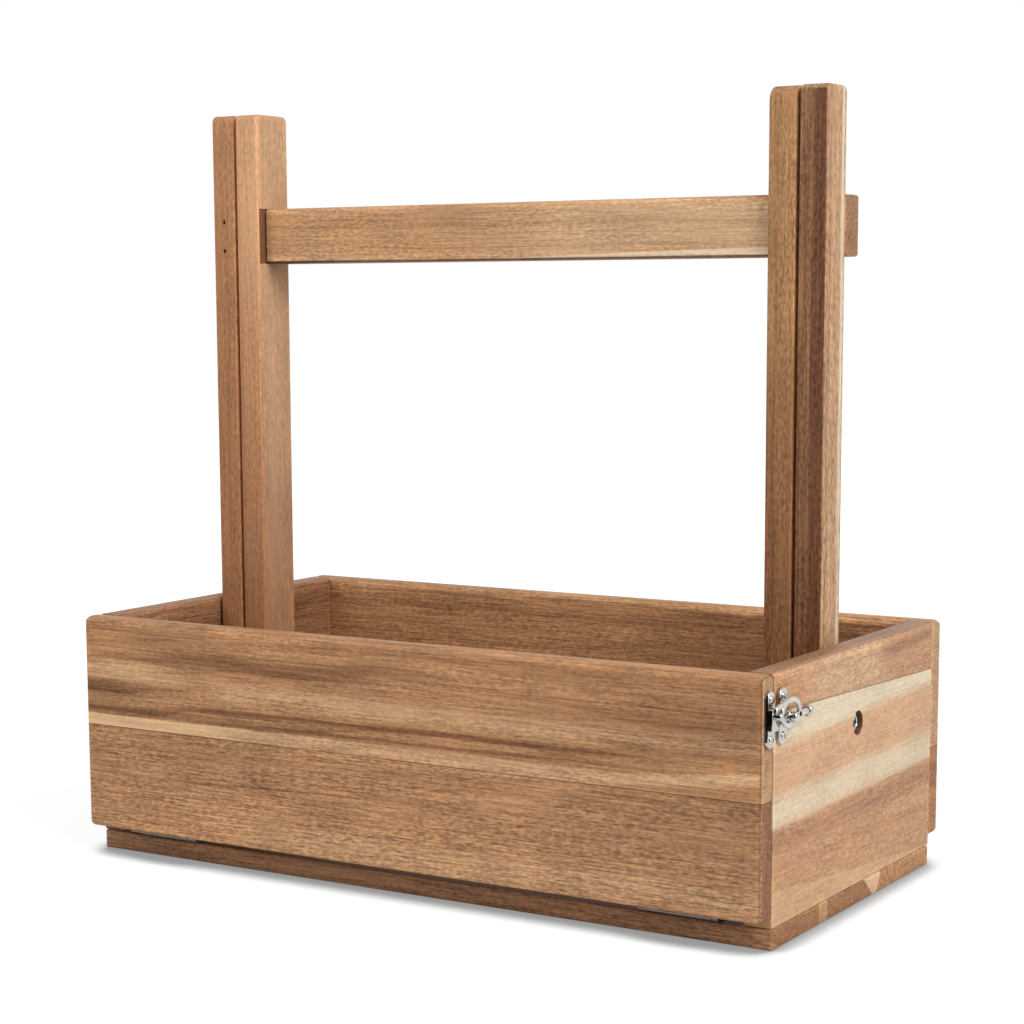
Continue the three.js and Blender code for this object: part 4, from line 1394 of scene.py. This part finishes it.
def catch_plate(label):
    piece = latch_plate(label + "_catch_plate_dressed", catch_y, 8.0)
    block_y = (catch_y - 3.98, catch_y + 3.98)
    block_x = (latch_seat + 0.2, 233.3)
    block = eased_board("block", "YZX", block_y, (118.5, 130.5), block_x, [0.9] * 4, [0.5] * 4, 4)
    post = [(229.2, 0), (229.2, 2.0), (235.8, 2.0), (236.5, 1.9), (236.9, 1.6), (237.1, 1.1), (237.2, 0)]
    post = turned("post", "X", (0, catch_y, post_z), post, 40)
    combine(piece, [block], "UNION")
    combine(piece, [post], "UNION")
    return combine(piece, plate_holes(catch_y), "DIFFERENCE")


def hook_plate(label):
    piece = latch_plate(label + "_hook_plate_dressed", hook_y, 9.5)
    boss = [(229.0, 0), (229.0, 3.9), (231.0, 3.9), (231.4, 3.3), (231.8, 3.0)]
    boss += [(233.5, 3.0), (233.7, 2.8), (233.7, 0)]
    combine(piece, [turned("boss", "X", (0, hook_y, latch_z), boss, 40)], "UNION")
    bore = cutter_rod("X", (0, hook_y, latch_z), 1.7, 229.3, 240.0, 24)
    return combine(piece, [bore, *plate_holes(hook_y)], "DIFFERENCE")


def hook(label):
    thick = (234.0, 235.8)
    ring_z = latch_z + 2.2
    ring_half = 10.5
    ring_rise = 6.7
    ring_steps = 64
    ring_path = []
    for k in range(ring_steps):
        angle = 2 * math.pi * k / ring_steps
        ring_path.append((hook_y + ring_half * math.cos(angle), ring_z + ring_rise * math.sin(angle)))
    piece = swept_band(label + "_hook_dressed", ring_path, [1.5] * ring_steps, thick, 0.55, True)
    arm_points = [(-102.5, 133.4), (-107.0, 133.3), (-111.5, 132.6), (-115.5, 131.8), (-118.5, 131.4)]
    arm_points += [(-120.6, 131.0), (-121.8, 130.2), (-121.95, 128.95)]
    arm_points = np.array(arm_points)
    fine = np.linspace(0, len(arm_points) - 1, 40)
    spots = np.arange(len(arm_points))
    arm_path = np.stack([np.interp(fine, spots, column) for column in arm_points.T], axis=1)
    for _ in range(3):
        arm_path[1:-1] = (arm_path[:-2] + 2 * arm_path[1:-1] + arm_path[2:]) / 4
    arm_half = np.interp(np.linspace(0, 1, 40), [0, 0.3, 0.75, 1], [1.5, 1.7, 1.6, 1.15])
    arm = swept_band("arm", arm_path, arm_half, thick, 0.5, False)
    bridge_path = [(y, latch_z) for y in np.linspace(hook_y - ring_half, hook_y + ring_half, 12)]
    bridge = swept_band("bridge", bridge_path, [1.3] * 12, thick, 0.4, False)
    hub = [(234.0, 0), (234.0, 3.6), (235.5, 3.6), (235.8, 3.3), (235.8, 0)]
    hub = turned("hub", "X", (0, hook_y, latch_z), hub, 40)
    lobe = [(234.0, 0), (234.0, 2.6), (234.3, 3.0), (235.4, 3.0), (235.8, 2.5), (235.8, 0)]
    lobe = turned("lobe", "X", (0, hook_y + 9.0, latch_z - 2.5), lobe, 40)
    for part in (arm, bridge, hub, lobe):
        combine(piece, [part], "UNION")
    stem_x = 234.9
    handle = [(-93.3, 0), (-93.3, 1.7), (-85.2, 1.7), (-84.9, 1.9), (-84.8, 2.5), (-84.4, 2.9)]
    handle += [(-83.7, 3.25), (-82.9, 3.3), (-82.0, 3.2), (-81.2, 2.8), (-80.6, 2.0), (-80.4, 0)]
    combine(piece, [turned("handle", "Y", (stem_x, 0, latch_z), handle, 40)], "UNION")
    return combine(piece, [cutter_rod("X", (0, hook_y, latch_z), 1.7, 230.0, 240.0, 24)], "DIFFERENCE")


def hook_rivet(label):
    profile = [(229.6, 0), (229.6, 1.4), (236.1, 1.4), (236.1, 2.7), (236.3, 2.8)]
    profile += [(238.2, 2.8), (238.7, 2.65), (239.1, 2.25), (239.4, 1.4), (239.5, 0)]
    return turned(label + "_hook_rivet_dressed", "X", (0, hook_y, latch_z), profile, 36)


latch_pieces = {
    "_catch_plate": catch_plate,
    "_hook_plate": hook_plate,
    "_hook": hook,
    "_hook_rivet": hook_rivet,
}
latch_corners = [corner for corner in corners if corner[1] == corner[2]]
for label, sign_x, sign_y in latch_corners:
    for node, make in latch_pieces.items():
        piece = mirror_piece(make(label), sign_x, sign_y)
        dress(piece, label + node, nickel, 40)
print("latches: two, each a catch plate, a hook plate, a hook and a rivet")

# %% [markdown]
# ## Screws by Geometry Nodes
# The plates and hinge leaves are held by small cross-head screws, all alike. They repeat, so a
# Geometry Nodes tree makes one screw and sets a copy on every point of a small mesh, turned to the
# direction that the point carries. Each screw gets its own turn from a fixed seed, as no one stops
# every slot at the same angle. The tree is read once and kept as a plain mesh, one for each body.

# %% Screw tree
screw_tree = bpy.data.node_groups.new("cross head screws", "GeometryNodeTree")
screw_inputs = {}
for label, kind, value in (
    ("Places", "Geometry", None),
    ("Head Radius", "Float", 2.5 * mm),
    ("Head Height", "Float", 0.9 * mm),
    ("Slot Width", "Float", 0.55 * mm),
    ("Shank Length", "Float", 5.0 * mm),
    ("Seed", "Int", 7),
    ("Metal", "Material", None),
):
    socket = screw_tree.interface.new_socket(label, in_out="INPUT", socket_type="NodeSocket" + kind)
    if value is not None:
        socket.default_value = value
    screw_inputs[label] = socket.identifier
screw_tree.interface.new_socket("Screws", in_out="OUTPUT", socket_type="NodeSocketGeometry")
tree = screw_tree
start = tree.nodes.new("NodeGroupInput").outputs
end = tree.nodes.new("NodeGroupOutput").inputs


def vector_of(x, y, z):
    return add(tree, "ShaderNodeCombineXYZ", {0: x, 1: y, 2: z}).outputs[0]


def transformed(shape, how, x, y, z):
    return add(tree, "GeometryNodeTransform", {"Geometry": shape, how: vector_of(x, y, z)}).outputs[0]


radius = start["Head Radius"]
height = start["Head Height"]
shank_radius = maths(tree, "MULTIPLY", radius, 0.46)
shank_drop = maths(tree, "MULTIPLY", start["Shank Length"], -0.5)
dome = add(tree, "GeometryNodeMeshUVSphere", {"Segments": 28, "Rings": 16, "Radius": radius}).outputs[0]
flatness = maths(tree, "DIVIDE", height, radius)
dome = transformed(dome, "Scale", 1.0, 1.0, flatness)
wide = maths(tree, "MULTIPLY", radius, 4.0)
below = add(tree, "GeometryNodeMeshCube", {"Size": vector_of(wide, wide, wide)}).outputs[0]
drop = maths(tree, "MULTIPLY", wide, -0.5)
below = transformed(below, "Translation", 0.0, 0.0, drop)
shank = add(
    tree,
    "GeometryNodeMeshCylinder",
    {"Vertices": 16, "Radius": shank_radius, "Depth": start["Shank Length"]},
).outputs["Mesh"]
shank = transformed(shank, "Translation", 0.0, 0.0, shank_drop)
slot_length = maths(tree, "MULTIPLY", radius, 1.15)
slot_z = maths(tree, "MULTIPLY", height, 1.05)
slots = []
for x, y in ((slot_length, start["Slot Width"]), (start["Slot Width"], slot_length)):
    slot = add(tree, "GeometryNodeMeshCube", {"Size": vector_of(x, y, height)}).outputs[0]
    slots.append(transformed(slot, "Translation", 0.0, 0.0, slot_z))


def boolean(operation, first, others):
    node = add(tree, "GeometryNodeMeshBoolean", operation=operation, solver="EXACT")
    if first is not None:
        tree.links.new(first, node.inputs["Mesh 1"])
    for other in others:
        tree.links.new(other, node.inputs["Mesh 2"])
    return node.outputs["Mesh"]


head = boolean("DIFFERENCE", dome, [below, *slots])
screw = boolean("UNION", None, [head, shank])
screw = add(tree, "GeometryNodeSetShadeSmooth", {"Geometry": screw, "Shade Smooth": True}).outputs[0]
axis = add(tree, "GeometryNodeInputNamedAttribute", {"Name": "axis"}, data_type="FLOAT_VECTOR")
axis = axis.outputs["Attribute"]
upright = add(tree, "FunctionNodeAlignRotationToVector", {"Vector": axis}, axis="Z").outputs[0]
spin = add(tree, "FunctionNodeRandomValue", {"Seed": start["Seed"]}, data_type="FLOAT")
spin.inputs[2].default_value = 0.0
spin.inputs[3].default_value = 1.5
spin = add(tree, "FunctionNodeAxisAngleToRotation", {"Axis": (0, 0, 1), "Angle": spin.outputs[1]}).outputs[0]
facing = add(tree, "FunctionNodeRotateRotation", {0: upright, 1: spin}, rotation_space="LOCAL").outputs[0]
copies = add(
    tree,
    "GeometryNodeInstanceOnPoints",
    {"Points": start["Places"], "Instance": screw, "Rotation": facing},
).outputs[0]
copies = add(tree, "GeometryNodeRealizeInstances", {"Geometry": copies}).outputs[0]
copies = add(tree, "GeometryNodeSetMaterial", {"Geometry": copies, "Material": start["Metal"]}).outputs[0]
feed(tree, end["Screws"], copies)
print("screw tree:", len(tree.nodes), "nodes")

# %% Set the screws


def set_screws(name, body, places, sizes, material, nodes=()):
    mesh = bpy.data.meshes.new(name)
    mesh.from_pydata([[c * mm for c in point] for point, _ in places], [], [])
    attribute = mesh.attributes.new("axis", "FLOAT_VECTOR", "POINT")
    for i, (_, direction) in enumerate(places):
        attribute.data[i].vector = direction
    piece = linked(name, mesh)
    step = piece.modifiers.new("screws", "NODES")
    step.node_group = screw_tree
    for label, value in sizes.items():
        step[screw_inputs[label]] = value
    step[screw_inputs["Metal"]] = material
    keep_result(piece, False)
    paint(piece, material)
    smooth(piece, 35)
    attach(piece, body)
    if nodes:
        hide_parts(*nodes)
    print(name, "has", len(places), "screws and", len(piece.data.polygons), "faces")
    return piece


def screw_sizes(head, height, slot, shank, seed):
    return {
        "Head Radius": head * mm,
        "Head Height": height * mm,
        "Slot Width": slot * mm,
        "Shank Length": shank * mm,
        "Seed": seed,
    }


latch_sizes = screw_sizes(2.6, 1.1, 0.65, 10.0, 5)
leaf_sizes = screw_sizes(2.2, 0.5, 0.5, 1.0, 9)


def latch_places(middle, faces):
    places = []
    for label, sign_x, sign_y in latch_corners:
        if label.split("_")[0] in faces:
            for z in latch_screws_z:
                places.append(((sign_x * plate_face, sign_y * middle, z), (sign_x, 0, 0)))
    return places


def leaf_places(y, z, direction, faces):
    places = []
    for label, sign_x, sign_y in corners:
        if label.split("_")[0] in faces:
            for x in hinge_screws_x:
                places.append(((sign_x * x, sign_y * y, z), (0, 0, direction)))
    return places


both = ("front", "back")
nodes = [n for n in frame["nodes"] if n.endswith("hook_plate_screw")]
set_screws("hook_plate_screws", "box", latch_places(hook_y, both), latch_sizes, nickel, nodes)
places = leaf_places(sum(base_leaf_y) / 2, base_leaf_z[1], 1, both)
set_screws("hinge_base_screws", "box", places, leaf_sizes, steel)
for face in both:
    body = body_of_node[face + "_flap"]
    nodes = [n for n in frame["nodes"] if n.startswith(face) and n.endswith("catch_screw")]
    places = latch_places(catch_y, (face,))
    set_screws(face + "_catch_screws", body, places, latch_sizes, nickel, nodes)
    places = leaf_places(sum(flap_leaf_y) / 2, flap_leaf_z[0], -1, (face,))
    set_screws(face + "_hinge_flap_screws", body, places, leaf_sizes, steel)

# %% [markdown]
# ## Stage, light and camera
# The studio is white. The floor is pale, keeps the soft shadow, and adds a little glow that only
# direct and mirrored views see, so the background comes out white without more light on the wood.
# Close to the carrier the floor lies in its own narrow shade, which Ambient Occlusion measures.
# Two large soft lamps and the sky light the carrier, the stronger one from the right. Bright metal
# only looks like metal when it has something dark to mirror, so a dark screen stands in front, and
# only mirror rays see it. The camera stands where the photographer stood, with a small upward shift
# of the frame.

# %% Stage and world


def seen_or_mirrored(tree):
    path = add(tree, "ShaderNodeLightPath").outputs
    seen = maths(tree, "MAXIMUM", path["Is Camera Ray"], path["Is Glossy Ray"])
    return maths(tree, "MAXIMUM", seen, path["Is Transmission Ray"])


floor_half = 4000
floor_level = -0.15
floor_signs = ((-1, -1), (1, -1), (1, 1), (-1, 1))
floor_points = [(x * floor_half, y * floor_half, floor_level) for x, y in floor_signs]
floor = keep_mesh("studio_floor", floor_points, [[0, 1, 2, 3]])
floor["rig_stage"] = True
floor_material, tree, shader = new_material("studio floor")
contact = add(tree, "ShaderNodeAmbientOcclusion", {"Distance": 0.027}, samples=12).outputs["AO"]
contact = remap(tree, contact, 0.5, 0.81, 0.33, 1.0)
seen = seen_or_mirrored(tree)
floor_tone = maths(tree, "MULTIPLY", blend_values(tree, seen, 0.8, 0.25), contact)
feed(tree, shader.inputs["Base Color"], blend_tints(tree, floor_tone, (0, 0, 0, 1), white))
shader.inputs["Roughness"].default_value = 0.9
shader.inputs["Specular IOR Level"].default_value = 0.0
shader.inputs["Emission Color"].default_value = white
spot = add(tree, "ShaderNodeTexCoord").outputs["Object"]
distance = add(tree, "ShaderNodeVectorMath", {0: spot}, operation="LENGTH").outputs["Value"]
glow = maths(tree, "MULTIPLY", remap(tree, distance, 0.45, 1.3, 0.86, 1.0), contact)
feed(tree, shader.inputs["Emission Strength"], maths(tree, "MULTIPLY", seen, glow))
floor.data.materials.append(floor_material)

dark_points = [(-2600, -560, 0), (1200, -560, 0), (1200, -760, 1500), (-2600, -760, 1500)]
dark_points += [(560, -560, 0.5), (560, -220, 0.5), (1500, -220, 0.5), (1500, -560, 0.5)]
dark_points += [(-1500, -560, 0.5), (-1500, -340, 0.5), (300, -340, 0.5), (300, -560, 0.5)]
dark_screen = keep_mesh("studio_dark_screen", dark_points, [[0, 1, 2, 3], [4, 5, 6, 7], [8, 9, 10, 11]])
dark_screen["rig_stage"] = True
screen_material, tree, shader = new_material("studio dark screen")
shader.inputs["Base Color"].default_value = (0.012, 0.012, 0.012, 1)
shader.inputs["Roughness"].default_value = 1.0
shader.inputs["Specular IOR Level"].default_value = 0.0
dark_screen.data.materials.append(screen_material)
dark_screen.visible_camera = False
dark_screen.visible_diffuse = False
dark_screen.visible_shadow = False
dark_screen.visible_transmission = False

world = bpy.data.worlds.new("white studio")
bpy.context.scene.world = world
world.use_nodes = True
tree = world.node_tree
sky = tree.nodes["Background"]
sky.inputs["Color"].default_value = white
feed(tree, sky.inputs["Strength"], blend_values(tree, seen_or_mirrored(tree), 0.42, 1.0))
print("white studio with a floor", round(2 * floor_half * mm), "m wide")

# %% Lamps and camera


def soft_lamp(name, place, target, size, power):
    lamp = bpy.data.lights.new(name, "AREA")
    lamp.shape = "RECTANGLE"
    lamp.size = size[0]
    lamp.size_y = size[1]
    lamp.energy = power
    holder = linked(name, lamp)
    holder.location = place
    holder.rotation_euler = (Vector(target) - Vector(place)).to_track_quat("-Z", "Y").to_euler()
    holder.visible_camera = False
    return holder


soft_lamp("right soft box", (2.0, -0.7, 1.6), (0, 0, 0.15), (1.4, 1.4), 44)
soft_lamp("left soft box", (-1.3, -1.9, 1.6), (0, 0, 0.15), (1.4, 1.4), 16)

camera = bpy.data.cameras.new("photo camera")
camera.sensor_width = 36
camera.lens = 81.2005
camera.shift_y = 0.1
camera.clip_end = 50
holder = linked("photo camera", camera)
place = Vector((0.726623, -1.179536, 0.339809))
right = Vector((0.852538, 0.522650, -0.003934))
ahead = Vector((-0.518235, 0.844311, -0.136279))
upward = right.cross(ahead)
turn = holder.matrix_world.copy()
for row in range(3):
    turn[row][0] = right[row]
    turn[row][1] = upward[row]
    turn[row][2] = -ahead[row]
    turn[row][3] = place[row]
holder.matrix_world = turn
bpy.context.scene.camera = holder
bpy.context.scene.view_settings.view_transform = "Standard"
print("camera", [round(c, 3) for c in holder.location], "lens", round(camera.lens, 1))

# %% [markdown]
# ## Size of the dressed carrier
# The dressed carrier is built to fill the same room as its solids; its size in millimetres is printed here.

# %% Measure and finish
low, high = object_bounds()
print("dressed size in mm:", [round((b - a) / mm, 1) for a, b in zip(low, high)])
